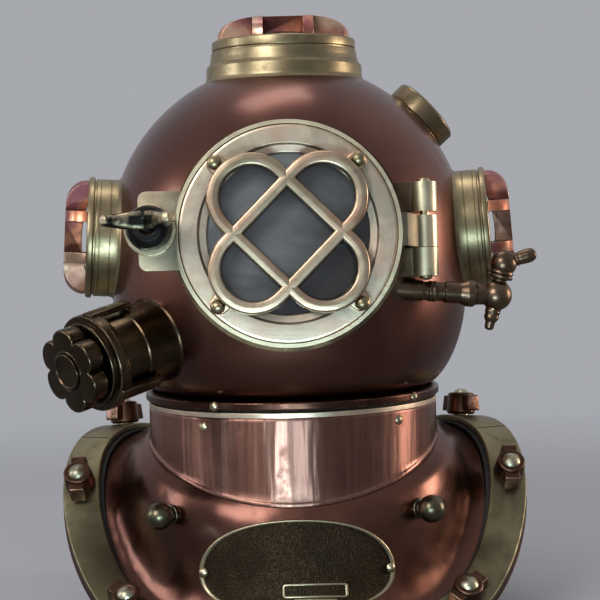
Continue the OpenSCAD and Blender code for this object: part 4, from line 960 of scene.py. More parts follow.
FINISHES = {
    "spun_copper": lambda c: spun_copper(c.bonnet),
    "breastplate_copper": lambda c: breastplate_copper(c.breastplate),
    "polished_collar": lambda c: polished_collar(c.collar),
    "ring_copper": lambda c: worn_metal(tone(c.breastplate, 0.55), c.bright_copper, rough=0.22, edge=0.3),
    "pale_brass": lambda c: worn_metal(
        c.pale_brass, tone(c.bright_brass, 1.15), dull=0.7, rough=0.33, pink=0.5, edge=0.45, grain=0.00004
    ),
    "door_brass": lambda c: worn_metal(
        warped(c.pale_brass, 1.05, 1.1, 1.02), tone(c.bright_brass, 1.2), dull=0.72, rough=0.34, pink=0.2,
        edge=0.45,
    ),
    "seat_brass": lambda c: hinge_metal(warped(c.pale_brass, 1.0, 1.05, 0.96), tone(c.dark_brass, 0.7)),
    "cup_brass": lambda c: worn_metal(
        warped(c.olive_brass, 0.78, 0.74, 0.74), c.bright_brass, rough=0.24, grain=0.000025, edge=0.3,
        soot_and_shade=0.5,
    ),
    "guard_brass": lambda c: worn_metal(
        warped(c.pale_brass, 0.8, 0.74, 0.68), tone(c.bright_brass, 1.2), dull=0.6, rough=0.3, pink=0.8,
        edge=0.6, soot_and_shade=0.97, grain=0.00004,
    ),
    "olive_brass": lambda c: worn_metal(
        c.olive_brass, c.bright_brass, rough=0.31, edge=0.35, soot_and_shade=0.55, grain=0.000025
    ),
    "strap_brass": lambda c: worn_metal(c.strap_brass, c.bright_brass, dull=0.5, rough=0.38, edge=0.45),
    "dark_brass": lambda c: worn_metal(tone(c.dark_brass, 0.9), c.bright_brass, rough=0.22, edge=0.28),
    "red_bronze": lambda c: worn_metal(
        c.red_bronze, warped(c.bright_copper, 0.8, 0.95, 1), rough=0.26, edge=0.4
    ),
    "green_bronze": lambda c: worn_metal(
        warped(c.olive_brass, 0.42, 0.46, 0.5), c.bright_brass, rough=0.25, edge=0.5
    ),
    "nut_bronze": lambda c: worn_metal(
        c.dark_bronze, warped(c.bright_copper, 0.75, 0.82, 0.92), rough=0.32, edge=0.55
    ),
    "black_metal": lambda c: worn_metal(
        c.black_metal, tone(c.bright_brass, 1.2), rough=0.4, edge=1.0, grain=0.00012
    ),
    "bare_brass": lambda c: worn_metal(c.bright_brass, c.bright_brass, dull=0.5, rough=0.27),
    "stud_brass": lambda c: worn_metal(
        warped(c.bright_brass, 0.72, 0.8, 0.86), c.bright_brass, dull=0.6, rough=0.3
    ),
    "heat_patina": lambda c: heat_patina(c.guard, c.pale_brass),
    "plate_brass": lambda c: plate_field(tone(c.dark_brass, 0.5), tone(c.bright_brass, 0.8)),
    "black_rubber": lambda c: black_rubber(c.rubber),
    "window_glass": lambda c: window_glass(c.glass),
    "spring_wire": lambda c: spring_wire(c.steel),
}


def finish(name):
    """Material of that name, which is made when it is first asked for."""
    made = bpy.data.materials.get(name)
    if made is None:
        made = FINISHES[name](bpy.context.scene.helmet_colours)
        made.name = name
    return made


def dressed(node, name):
    """Gives a CAD node that keeps its own shape its finish."""
    mesh = frame["nodes"][node].data
    mesh.materials.clear()
    mesh.materials.append(finish(name))


class Maker:
    """Shared by the operators: each builds its pieces in make and is undone as one step."""

    bl_options = {"REGISTER", "UNDO"}

    def execute(self, context):
        self.make(context.scene.helmet_sizes)
        return {"FINISHED"}


# Breastplate


class HELMET_OT_breastplate(Maker, bpy.types.Operator):
    """Builds the copper breastplate with its polished collar, rivets and neck ring"""

    bl_idname, bl_label = "helmet.breastplate", "Breastplate"

    def make(self, sizes):
        # One closed section at each of 360 rim angles: down the neck, along the saddle and flange, round the
        # rim, and back up the inner side, which is the outer one moved in along its normals by the sheet.
        t = np.arange(360.0)[:, None]
        a = neck_angle(t)
        v = np.linspace(0, 1, 36)[None]
        flange = [(across, 0) for across in (-12, -8, -4, 0, 5, 10, 14.2)]
        lip = [(15, -0.3), (15.3, -0.9), (15.3, -1.4), (14.9, -2), (14.2, -SHEET)]
        under = [(across, -SHEET) for across in (5, -5, -15)]
        edge = np.array(flange + lip + under)
        foot = neck_foot(a)
        section = np.concatenate([
            round_neck(NECK_R, a, NECK_HIGH + 0 * a), round_neck(NECK_R, a, foot), saddle_at(t, v),
            standing(rim_point(t, edge[None, :, 0], edge[None, :, 1])),
            saddle_point(t, v[:, :0:-1], -SHEET + 0 * v[:, :0:-1]), round_neck(NECK_R, a, foot - SHEET),
            round_neck(NECK_R - SHEET, a, foot - SHEET), round_neck(NECK_R - SHEET, a, NECK_HIGH + 0 * a),
        ], 1)
        wear_and_shade = np.zeros(section.shape[1])
        first = 2 + v.size + len(flange)
        wear_and_shade[first : first + 3] = 1
        shell = grid(section, True, True, wear_and_shade[None])
        piece("breastplate_shell", [shell], "breastplate", "breastplate_copper", "breastplate")

        # Collar: the lip follows the copper's foot and the top is level. Each point of the outline is (r,
        # share of the way from foot to top, millimetres above that).
        lip = [
            (115.5, 0, 0), (115.85, 0, 0.35), (115.9, 0, 1.2), (115.9, 0, 2.3), (115.6, 0, 3.0),
            (115.0, 0, 3.5),
        ]
        wall = [(114.72, 0, 4.1)] + [(114.7, share, 0) for share in np.linspace(0.15, 0.96, 14)]
        top = [(114.7, 1, -0.6), (114.4, 1, -0.15), (114.0, 1, 0), (NECK_R + 0.1, 1, 0)]
        outline = np.array([(NECK_R + 0.1, 0, 0)] + lip + wall + top)
        a = np.arange(0, 360, 1.0)[:, None]
        foot = neck_foot(a) + 0.1
        z = foot + outline[None, :, 1] * (NECK_HIGH - 0.1 - foot) + outline[None, :, 2]
        wear_and_shade = np.array([0, 0.4, 1, 1, 1, 1, 0.6] + [0] * len(wall) + [0.6, 1, 0.4, 0])
        sleeve = grid(round_neck(outline[None, :, 0], a, z), True, True, wear_and_shade[None])
        piece(
            "collar_sleeve", [sleeve], "breastplate", "polished_collar", "neck_collar",
            sharp=50,
        )

        rivets = [dome_head(3.8, 2, on_neck(114.85, angle, 162)) for angle in (-36, 44, 144, 224)]
        piece("collar_rivet_heads", rivets, "breastplate", "bare_brass", "collar_rivets")
        cast_copy("breast_neck_ring", "breast_ring_casting", "pale_brass", 0.5)
        dressed("neck_gasket", "black_rubber")


class HELMET_OT_rim(Maker, bpy.types.Operator):
    """Builds the rim's gasket, four straps, studs and eared nuts"""

    bl_idname, bl_label = "helmet.rim", "Rim straps, studs and nuts"

    def make(self, sizes):
        section, _ = rounded(
            [(-17.5, 0.9, 0.3), (-17.5, 3.0, 0.8), (14.5, 3.0, 0.3), (14.5, 0.25, 0.2)], steps=3
        )
        t = np.arange(0, 360, 1.0)
        rings = rim_point(t[:, None], section[None, :, 0], section[None, :, 1])
        band = grid(rings, True, True)
        piece("rim_gasket_band", [band], "breastplate", "black_rubber", "rim_gasket")

        low, high = (STRAP_LOW, 0.8), (STRAP_HIGH, 1.5)
        section = [(-STRAP_HALF, *low), (-STRAP_HALF, *high), (STRAP_HALF, *high), (STRAP_HALF, *low)]
        section, wear_and_shade = rounded(section, steps=4)
        for quarter, name in enumerate(("front_right", "back_right", "back_left", "front_left")):
            t = np.linspace(quarter * 90 + 0.15, quarter * 90 + 89.85, 91)
            rings = rim_point(t[:, None], section[None, :, 0], section[None, :, 1])
            p, quads, _, w = grid(rings, False, True, wear_and_shade[None])
            m = len(section)
            bar = (p, quads, [list(range(m)), list(range(len(p) - m, len(p)))[::-1]], w)
            piece("strap_bar_" + name, [bar], "breastplate", "strap_brass", "strap_" + name)

        stud = [(0, -6.1), (8.3, -6.1, 0.5), (8.6, -5.6), (8.6, -3.3, 0.4), (6.8, -3.1), (6.8, 27)]
        stud += [(r, 27 + h) for r, h in dome_cap(6.8, 3.5)[1:]]
        studs = [lathe(stud, on_rim(t), 32, closed=False) for t in STUDS]
        piece("rim_stud_heads", studs, "breastplate", "stud_brass", "rim_studs")

        nuts = []
        hub = [(6.95, 0), (10.2, 0, 0.5), (12, 1.6, 1.2), (10.8, 18, 1.6), (6.95, 18, 0.5)]
        ear, _ = rounded([(4, 3, 0), (18.5, 3, 1.2), (16.3, 16, 1.5), (4, 16, 0)], steps=4)
        face = np.where(ear[:, 0] > 15.5, 2.0, 0.0)
        for t in STUDS:
            at = on_rim(t, STRAP_HIGH + 0.75)
            nuts.append(lathe(hub, at, 40))
            for half in (0, 180):
                nuts.append(slab(ear, -6, 6, 1.1, at @ turn("z", half) @ turn("x", 90), face))
        piece("rim_nut_castings", nuts, "breastplate", "nut_bronze", "rim_nuts")


def bib_point(p, q, up):
    """Point of the bib for a place on the nameplate: p across, q up, both in millimetres along the copper,
    which droop towards the plate's ends, and up along the copper's normal."""
    p, q = np.broadcast_arrays(np.asarray(p, float), np.asarray(q, float))
    across = np.linalg.norm(saddle_at(0.5, PLATE_V) - saddle_at(-0.5, PLATE_V))
    down = 10 * np.linalg.norm(saddle_at(0, PLATE_V + 0.05) - saddle_at(0, PLATE_V - 0.05))
    droop = 0.085 * (2 * p / 136) ** 2
    return saddle_point(p / across, PLATE_V - q / down + droop, up + 0 * p)


class HELMET_OT_nameplate(Maker, bpy.types.Operator):
    """Builds the blank oval nameplate with its border, plain frames and rivets"""

    bl_idname, bl_label = "helmet.nameplate", "Nameplate"

    def make(self, sizes):
        # Height over the plate by the share k of the way from the middle to the edge: a ground, a raised
        # border, and a back that lies on the copper.
        lift, relief = 0.55, sizes.plate_relief / MM
        ground = [(k, 1.6, 0) for k in np.linspace(0.0, 0.94, 32)]
        border = [
            (0.953, 1.65, 0), (0.96, 2.0, 0.5), (0.967, 2.5, 1), (0.978, 2.75, 1), (0.99, 2.6, 1),
            (0.998, 2.1, 0.8),
        ]
        back = [(1, 1.4, 0.3), (1, 0.2, 0), (0.96, 0, 0), (0.5, 0, 0), (0.0, 0, 0)]
        k, up, wear_and_shade = np.array(ground + border + back).T[:, :, None]
        s = np.arange(180)[None] * 2
        plate = grid(bib_point(k * 68 * cos(s), k * 35 * sin(s), lift + up), False, True, wear_and_shade)

        def frame_bar(x, y, half_w, half_h):
            """Plain raised frame: a small half-round section carried round a rounded rectangle."""
            low, high = y - half_h, y + half_h
            path = [
                (x - half_w, low, 1.6), (x + half_w, low, 1.6), (x + half_w, high, 1.6),
                (x - half_w, high, 1.6),
            ]
            path, _ = rounded(path, steps=4)
            step = np.linalg.norm(np.diff(path, axis=0, append=path[:1]), axis=1)
            length = np.append(0, np.cumsum(step))
            ring = np.append(path, path[:1], 0)
            even = np.linspace(0, length[-1], 97)[:-1]
            path = np.stack([np.interp(even, length, ring[:, i]) for i in (0, 1)], -1)
            outward = unit(np.roll(path, 1, 0) - np.roll(path, -1, 0))[:, ::-1] * (-1, 1)
            b = np.linspace(0, 180, 7)
            across, height = 0.9 * cos(b), relief * sin(b)
            p = path[:, None] + across[None, :, None] * outward[:, None]
            rings = bib_point(p[..., 0], p[..., 1], lift + 1.5 + height[None])
            return grid(rings, True, False, (sin(b) > 0.4).astype(float)[None])

        parts = [plate, frame_bar(12, -16.5, 22, 4.6), frame_bar(12, -27, 15, 3.4)]
        piece("nameplate_casting", parts, "breastplate", "plate_brass", "nameplate", sharp=60)

        rivets = []
        for side in (-1, 1):
            foot, top = (bib_point(side * 64.4, 0, up) for up in (3.47, 8.0))
            out = unit(top - foot)
            rivets.append(dome_head(4, 2.4, stood(foot, unit(np.cross((0, 0, 1), out)), out)))
        piece("nameplate_rivet_heads", rivets, "breastplate", "bare_brass", "nameplate_rivets")


class HELMET_OT_lanyard_studs(Maker, bpy.types.Operator):
    """Builds the two ball studs on the bib"""

    bl_idname, bl_label = "helmet.lanyard_studs", "Lanyard studs"

    def make(self, sizes):
        b = np.linspace(-60, 90, 26)
        ball_part = [(10.4 * cos(x), 12 + 10.4 * sin(x)) for x in b[:-1]] + [(0, 22.4)]
        outline = [(0, 0), (8, 0), (8, 1.6, 0.7), (5.3, 1.9, 0.6)] + ball_part
        studs = [lathe(outline, on_saddle(side * 42.0, 0.28, 0.4), 48, closed=False) for side in (-1, 1)]
        piece("lanyard_ball_studs", studs, "breastplate", "green_bronze", "lanyard_studs")


# Bonnet and its fittings


class HELMET_OT_bonnet(Maker, bpy.types.Operator):
    """Builds the spun copper bonnet with its ports, neck ring and screws"""

    bl_idname, bl_label = "helmet.bonnet", "Bonnet"

    def make(self, sizes):
        # Surface of revolution of the dome's outline, in even steps. Points inside a port are dropped, and
        # those beside its rim are drawn onto it: along the port's radius to its edge, then along its axis to
        # the dome.
        angle = np.linspace(16, 90, 84)
        upper = np.stack([DOME_R * sin(angle), DOME_Z + DOME_R * cos(angle)], -1)
        k = np.linspace(0, 1, 66)[1:] ** 0.92
        lower = np.stack([lower_radius(k), DOME_Z - HEM_DROP * k], -1)
        outline = np.concatenate([upper, lower])
        a = np.arange(320) * TAU / 320
        r, z = outline[:, :1], outline[:, 1:]
        points, quads, _, _ = grid(np.stack([r * np.cos(a), r * np.sin(a), z + 0 * a], -1), False, True)
        ports = [(FACE, FACE_BORE), (TOP, TOP_BORE), (CUP, CUP_BORE), (EXHAUST, EXHAUST_BORE)]
        ports += [(SPITCOCK, COCK_BORE)] + [(at, SIDE_BORE) for at in SIDES.values()]
        ports += [(at, PIPE_BORE) for at in GOOSENECKS.values()]
        kept = np.ones(len(quads), bool)
        moved = points.copy()
        for at, radius in ports:
            local = (points - at[:3, 3]) @ at[:3, :3]
            rho = np.hypot(local[:, 0], local[:, 1])
            inside = (rho < radius) & (local[:, 2] > -30)
            kept &= ~inside[quads].all(1)
            rim = inside & np.isin(np.arange(len(points)), quads[~inside[quads].all(1)])
            near = local[rim, :2] * (radius / rho[rim])[:, None]
            height = dome_height(at, near[:, 0], near[:, 1])
            moved[rim] = place(at, np.concatenate([near, height[:, None]], -1))
        shell = (moved, quads[kept], [], np.zeros(len(points)))
        piece("bonnet_shell", [shell], "bonnet", "spun_copper", "bonnet", wall=SHEET, sharp=60)

        cast_copy("bonnet_neck_ring", "bonnet_ring_casting", "ring_copper", 0.6)
        screws = [dome_head(3.6, 2.2, on_neck(117.1, angle, 178.1)) for angle in (-30, 52, 150, 232)]
        piece("neck_ring_screw_heads", screws, "bonnet", "bare_brass", "neck_ring_screws")


class HELMET_OT_windows(Maker, bpy.types.Operator):
    """Builds the side and top windows: body, gasket, glass, bezel and barred guard of each"""

    bl_idname, bl_label = "helmet.windows", "Windows"

    def make(self, sizes):
        bead = sizes.solder_bead / MM
        side = {
            "foot": 46.2, "bore": SIDE_BORE, "glass": 42, "high": 153.6, "outer": 47.5, "shoulder": 45,
            "bezel_high": 160.0,
        }
        side["body"] = [
            (46.2, 141.6), (45.7, 141.9), (45.7, 142.3), (46.1, 142.7), (46.1, 149.6), (45.8, 149.9),
            (45.8, 150.2), (46.1, 150.6), (46.2, 153.6, 0.8), (42.3, 153.6, 0.3), (42.3, 145.1),
            (SIDE_BORE, 145.1), (SIDE_BORE, 138.6),
        ]
        top = {
            "foot": 62, "bore": TOP_BORE, "glass": 49, "high": 150.6, "outer": 57, "shoulder": 56,
            "bezel_high": 159.6,
        }
        top["body"] = [
            (61.9, 131), (61.6, 138.6, 1.6), (60.2, 140.3, 1.5), (59.2, 141.4, 1.5), (58.3, 145),
            (57.6, 150.6, 0.8), (49.3, 150.6, 0.3), (49.3, 142.1), (TOP_BORE, 142.1),
            (TOP_BORE, 136.6),
        ]
        self.window("left_window", SIDES["left"], bead, **side)
        self.window("right_window", SIDES["right"], bead, **side)
        self.window("top_window", TOP, bead, **top)

    def window(self, name, at, bead, body, foot, bore, glass, high, outer, shoulder, bezel_high):
        """One window, from its foot on the dome out to its guard. High is the top of its body."""
        flanged = turned_on_dome(body, at, foot, bore, bead)
        piece(name + "_casting", [flanged], "bonnet", "olive_brass", name + "_body")
        seat = high - 8.5
        low = seat + 1.5
        ring = [(bore + 0.5, seat, 0.3), (glass, seat, 0.3), (glass, low, 0.3), (bore + 0.5, low, 0.3)]
        piece(name + "_seal_ring", [lathe(ring, at)], "bonnet", "black_rubber", name + "_gasket")
        pane = [(0, low), (glass - 0.05, low, 0.5), (glass - 0.05, high - 1, 0.5), (0, high - 1)]
        parts = [lathe(pane, at, 128, closed=False)]
        piece(name + "_pane", parts, "bonnet", "window_glass", name + "_glass")
        bezel = [
            (bore, high - 0.9), (glass, high - 0.9), (glass, high + 0.1), (shoulder, high + 0.1),
            (shoulder, high + 1.1), (outer, high + 1.7, 0.8), (outer - 0.2, bezel_high - 0.2, 1.6),
            (bore + 2, bezel_high, 1), (bore, bezel_high - 2, 1),
        ]
        parts = [lathe(bezel, at, 160)]
        piece(name + "_bezel_ring", parts, "bonnet", "olive_brass", name + "_bezel")
        cast_copy(name + "_guard", name + "_guard_bars", "heat_patina", 1.2, limit=35)


def gooseneck_tube(at):
    """Swept pipe: its axis runs out of the dome, turns through an arc of radius 16 by 45 degrees, and ends in
    a threaded mouth. The radius at each step of the axis is that of tube or collar, or 13.1 + 0.4 sin of the
    length on the thread."""
    corner, bend, radius = 186.0, 45.0, 16.0
    cut = radius * math.tan(math.radians(bend / 2))
    arc = np.linspace(0, bend, 17)
    start = 118.0
    straight = np.stack([0 * arc[:2], 0 * arc[:2], np.array([start, corner - cut])], -1)
    curve = np.stack([0 * arc, -radius * (1 - cos(arc)), corner - cut + radius * sin(arc)], -1)
    way = np.array([0, -sin(bend), cos(bend)])
    collar = [20.2, 20.8, 21.0, 21.4, 24.4, 25.0, 25.2]
    length = np.concatenate(
        [np.linspace(cut, 19.6, 3)[1:], collar, np.linspace(25.4, 40.2, 75), [40.7, 41.0]]
    )
    end = np.array([0, 0, corner]) + length[:, None] * way
    path = np.concatenate([straight[:1], curve, end])
    along = np.concatenate([[0] * (1 + len(curve)), length])
    r = np.where(along < 20, 11.5, 13.5)
    r = np.where((along > 20.5) & (along < 25.1), 16.3, r)
    r = np.where((along > 25.3) & (along < 40.4), 13.1 + 0.4 * np.sin(along * TAU / 1.5), r)
    r = np.where(along > 40.5, 12.7 - (along - 40.7), r)
    lean = np.concatenate([[0], arc, np.full(len(length), bend)])
    outer = pipe_rings(path, lean, r)
    inner = pipe_rings(path[::-1], lean[::-1], np.full(len(path), PIPE_BORE))
    wear_and_shade = np.concatenate([(along > 20.5) & (along < 25.1), np.zeros(len(path))]).astype(float)
    return grid(place(at, np.concatenate([outer, inner])), True, True, wear_and_shade[:, None])


def pipe_rings(path, lean, r):
    """Rings of radius r square to an axis that leans back: path + r (cos a across + sin a back)."""
    a = (np.arange(48) * TAU / 48)[None, :, None]
    across, back = np.array([1.0, 0, 0]), np.stack([0 * lean, cos(lean), sin(lean)], -1)[:, None]
    return path[:, None] + r[:, None, None] * (np.cos(a) * across + np.sin(a) * back)


class HELMET_OT_cup_and_goosenecks(Maker, bpy.types.Operator):
    """Builds the receiver cup and the two goosenecks"""

    bl_idname, bl_label = "helmet.cup_and_goosenecks", "Receiver cup and goosenecks"

    def make(self, sizes):
        bead = sizes.solder_bead / MM
        cup = [
            (27.6, 139.6, 0.6), (28.5, 141.2, 0.8), (28.5, 153.2, 1.5), (26.2, 154.8, 1.2),
            (24.6, 154.8, 0.3), (24.2, 154.2, 0.3), (12, 154.2), (0, 154.2), (0, 149),
            (CUP_BORE, 149), (CUP_BORE, 141),
        ]
        cup_parts = [turned_on_dome(cup, CUP, 27.5, CUP_BORE, bead)]
        piece("receiver_cup_turning", cup_parts, "bonnet", "cup_brass", "receiver_cup")
        for name, at in GOOSENECKS.items():
            flange = [
                (21, 146.2, 0.5), (20.6, 147.8, 0.9), (12.6, 148, 0.6), (11.2, 149.6), (PIPE_BORE, 149.6),
                (PIPE_BORE, 142),
            ]
            screws = [
                dome_head(2.2, 1.3, at @ turn("z", 45 + 90 * i) @ move(16.6, 0, 147.9)) for i in range(4)
            ]
            parts = [turned_on_dome(flange, at, 21, PIPE_BORE, bead), gooseneck_tube(at)] + screws
            piece(name + "_casting", parts, "bonnet", "olive_brass", name)


class HELMET_OT_exhaust_valve(Maker, bpy.types.Operator):
    """Builds the exhaust valve: barrel, cage, lobed handwheel, cap and chin button"""

    bl_idname, bl_label = "helmet.exhaust_valve", "Exhaust valve"

    def make(self, sizes):
        bead = sizes.solder_bead / MM
        barrel = [
            (31, 25.4, 0.6, 0), (30, 26.4, 0.5, 0), (30, 47, 0.8), (26, 47, 0.4), (26, 9), (EXHAUST_BORE, 9),
            (EXHAUST_BORE, 0),
        ]
        parts = [turned_on_dome(barrel, EXHAUST, 31, EXHAUST_BORE, bead, 128)]
        piece("exhaust_barrel", parts, "bonnet", "dark_brass", "exhaust_body")

        ring = [
            (4.1, 54.5), (26, 54.5), (26, 48.5), (36, 48.5, 0.9), (36, 52.4), (35.6, 52.7), (35.6, 53.5),
            (36, 53.8), (36, 58, 1.3), (31.2, 58.2, 0.5), (31, 61.6, 1.0), (10.5, 61.6, 0.2), (10.2, 61.2),
            (4.1, 61.2),
        ]
        parts = [lathe(ring, EXHAUST, 128)]
        bar, arcs = rounded([(33.4, -5, 1), (37.7, -5, 1.6), (37.7, 5, 1.6), (33.4, 5, 1)], steps=4)
        foot, _ = rounded([(32.1, -5, 0.6), (36.1, -5, 1.2), (36.1, 5, 1.2), (32.1, 5, 0.6)], steps=3)
        for angle in (80, -40, -160):
            at = EXHAUST @ turn("z", angle)
            parts += [slab(bar, 19, 57, 1.0, at, arcs), slab(foot, 19, 24, 0.6, at)]
            parts += [dome_head(1.9, 1.0, at @ move(37.5, 0, h) @ turn("y", 90)) for h in (22.4, 53.4)]
        piece("exhaust_cage_casting", parts, "bonnet", "dark_brass", "exhaust_cage")

        # Handwheel outline: six broad lobes with narrow notches, r = 21.5 + 9.5 |cos 3a|^0.42, evened out at
        # the notches.
        a = np.arange(720) * 0.5
        from_lobe = (a - 30) % 60
        from_lobe = np.minimum(from_lobe, 60 - from_lobe)
        r = 21.5 + 9.5 * np.abs(cos(3 * from_lobe)) ** 0.42
        for _ in range(4):
            r = (np.roll(r, 1) + r + np.roll(r, -1)) / 3
        outline = np.stack([r * cos(a), r * sin(a)], -1)
        stem = [(0, 35), (4, 35, 0.5), (4, 61), (9, 62.2, 0.4), (9, 66), (0, 66)]
        lip = [(13.9, 77.2), (15.4, 77.4, 0.3), (15.6, 78.2, 0.3), (14.6, 78.6, 0.3), (13.9, 78.1)]
        parts = [
            slab(outline, 65, 78, 1.5, EXHAUST), lathe(stem, EXHAUST, 48, closed=False), lathe(lip, EXHAUST)
        ]
        piece("exhaust_wheel_casting", parts, "wheel", "dark_brass", "exhaust_wheel")
        cap = [
            (0, 76.7), (13.5, 76.7), (13.5, 80.2, 0.7), (11.7, 80.4, 0.5), (10.8, 79.3, 0.5), (5, 79.3),
            (0, 79.5),
        ]
        parts = [lathe(cap, EXHAUST, 72, closed=False)]
        piece("wheel_cap_disc", parts, "wheel", "dark_brass", "wheel_cap")

        button = [(0, -14.1), (15, -14.1, 0.8), (17, -16.1, 1), (16, -18.6, 1.5), (10, -20.1, 3), (0, -20.7)]
        parts = [lathe(button, EXHAUST, 64, closed=False)]
        piece("chin_button_disc", parts, "poppet", "olive_brass", "chin_button")
        dressed("exhaust_spring", "spring_wire")
        dressed("spring_follower", "olive_brass")
        dressed("exhaust_poppet", "olive_brass")


class HELMET_OT_spitcock(Maker, bpy.types.Operator):
    """Builds the spitcock: banded tube, ball, spout and turning handle"""

    bl_idname, bl_label = "helmet.spitcock", "Spitcock"

    def make(self, sizes):
        tube = [
            (7.6, 4), (7.6, 22, 0.5), (6.9, 22.9, 0.5), (6.9, 26.2, 0.5), (7.7, 27, 0.5), (7.7, 28.6, 0.3),
            (7.3, 29.5, 0.3), (7.7, 30.4, 0.3), (7.7, 32, 0.5), (6.9, 33, 0.5), (6.9, 38, 0.5),
            (7.9, 39, 0.5), (7.9, 50, 1), (8.5, 52, 1), (9.8, 55.6, 0.9), (9.8, 60, 0.9), (8.1, 62.4, 1),
            (7.6, 68), (7.6, 77.5), (0, 77.5),
        ]
        ball_part = [(11.5 * cos(x), 11.5 * sin(x)) for x in np.linspace(-66, 63, 40)[2:]]
        spout = [
            (0, -26.4), (1.2, -26.3), (2.4, -26, 0.4), (3.4, -24.5, 0.5), (3.7, -20.2, 0.4),
            (4.4, -19.2, 0.4), (5.6, -17, 0.5), (5.2, -14.5, 0.4), (5.8, -12.5, 0.4), (5.6, -11.5),
        ]
        socket = [(5.1, 10.35), (5.1, 2), (0, 2)]
        parts = [
            turned_on_dome(tube, SPITCOCK, 7.6, 0, sizes.solder_bead / MM, 64),
            lathe(spout + ball_part + socket, PLUG_BALL, 64, closed=False),
        ]
        piece("spitcock_tube", parts, "bonnet", "red_bronze", "spitcock_body")

        collar = [
            (0, 3), (5, 3, 0.3), (5, 11.6), (6, 11.95), (8.6, 12.6, 0.6), (9.2, 14.4, 0.6), (7.7, 15.5, 0.4),
            (9, 16.5, 0.6), (8.6, 18.1, 0.8), (6.4, 19.1, 0.6), (5.2, 19.8),
        ]
        knob = [(9.8 * cos(x), 24 + 9.8 * sin(x)) for x in np.linspace(-56, 90, 34)[1:-1]] + [(0, 33.8)]
        lever = [
            (0, 4), (4.6, 5), (4.8, 9.4, 0.4), (5.3, 10.2, 0.4), (4.7, 11.2, 0.4), (5, 13), (5.4, 18, 2),
            (5.2, 21, 2), (4, 23.6, 2), (2, 24.8, 1), (0, 25),
        ]
        parts = [
            lathe(collar + knob, PLUG_BALL, 64, closed=False),
            lathe(lever, PLUG_BALL @ move(0, 0, 24) @ turn("y", 60), 48, closed=False),
        ]
        piece("spitcock_lever", parts, "handle", "red_bronze", "spitcock_handle")


# Faceplate and clamp


class HELMET_OT_faceplate(Maker, bpy.types.Operator):
    """Builds the faceplate's seat, hinge, hinged casting, bezel, glass, guard and screws"""

    bl_idname, bl_label = "helmet.faceplate", "Faceplate"

    def make(self, sizes):
        edge, bars = sizes.casting_edge / MM, sizes.guard_edge / MM
        cast_copy("faceplate_seat", "faceplate_seat_casting", "seat_brass", edge * 0.7)
        low, high = -32.6, 39.0
        pin = [
            (0, low - 1.4), (2.4, low - 1.2), (4.2, low - 0.4, 0.5), (5, low + 1.2, 0.3), (3.5, low + 1.5),
            (3.5, high - 1.5), (5, high - 1.4, 0.3), (4.2, high + 0.9, 0.5), (2.4, high + 1.2),
            (0, high + 1.4),
        ]
        parts = [lathe(pin, HINGE, 48, closed=False)]
        piece("hinge_pin_turning", parts, "bonnet", "bare_brass", "hinge_pin")
        cast_copy(
            "door", "faceplate_casting", "door_brass", edge, cuts=hinge_cuts(), shape=hinge_barrel
        )
        dressed("door_seal", "black_rubber")
        dressed("door_glass_seal", "black_rubber")
        pane = [(0, 146.5), (60.55, 146.5, 0.6), (60.55, 153, 0.6), (0, 153)]
        parts = [lathe(pane, FACE, 160, closed=False)]
        piece("faceplate_pane", parts, "door", "window_glass", "door_glass")
        bezel = [
            (57.2, 153.2, 0.3), (60.9, 153.1), (60.9, 145.7), (77.3, 145.7), (77.3, 157.2, 0.9),
            (75.4, 157.5, 0.4), (70, 157.5), (64.4, 157.4, 0.5), (63, 156.3, 0.5), (62.9, 155.5, 0.4),
            (57.6, 155.1, 0.8),
        ]
        piece("faceplate_bezel_ring", [lathe(bezel, FACE, 200)], "door", "pale_brass", "door_bezel")
        # Guard: two long loops laid across each other, each a section carried round two straights and two
        # half circles, with four feet. The section's flanks get painted shade and its crown is rubbed.
        section, wear_and_shade = rounded([
            (-4.9, 161, 0.4, 0), (-4.9, 163.5, 1, 0), (-4.2, 169.6, bars, 0.7), (0, 169.98, 2, 0),
            (4.2, 169.6, bars, 0.7), (4.9, 163.5, 1, 0), (4.9, 161, 0.4, 0),
        ], steps=6)
        # Painted shade: the flanks are marked -0.98, so the finish darkens them almost to black.
        wear_and_shade = np.where(section[:, 1] < 168.3, -0.98, wear_and_shade)
        b = np.linspace(-90, 90, 41)
        half = np.stack([35.5 + 27 * cos(b), 27 * sin(b)], -1)
        x = np.linspace(35.5, -35.5, 31)[1:-1]
        straight = np.stack([x, 27 + 0 * x], -1)
        loop = np.concatenate([half, straight, -half, -straight])
        loop = np.append(loop, 0 * loop[:, :1], 1)
        side = unit(np.roll(loop, 1, 0) - np.roll(loop, -1, 0))[:, [1, 0, 2]] * (-1, 1, 0)
        foot, _ = rounded(
            [(60, -7, 0), (68, -7, 4), (74, -6.2, 5), (77.2, 0, 6), (74, 6.2, 5), (68, 7, 4), (60, 7, 0)],
            steps=6,
        )
        parts = []
        for i, angle in enumerate((45, 135)):
            p, quads, caps, w = swept(loop, side, np.array([[0.0, 0, 1]]), section, wear_and_shade[None])
            parts.append((place(FACE @ turn("z", angle) @ move(0, 0, -0.06 * i), p), quads, caps, w))
        parts += [slab(foot, 157.62, 164.0, 1.2, FACE @ turn("z", 45 + 90 * i)) for i in range(4)]
        piece("faceplate_guard_bars", parts, "door", "guard_brass", "door_guard", sharp=50)
        corners = [FACE @ turn("z", 45 + 90 * i) @ move(71.5, 0, 0) for i in range(4)]
        screws = [dome_head(5.3, 3.3, at @ move(0, 0, 164.3)) for at in corners]
        shanks = [lathe([(2.8, 150), (2.8, 164.4)], at, 24, closed=False) for at in corners]
        piece("guard_screw_heads", screws + shanks, "door", "olive_brass", "door_guard_screws")


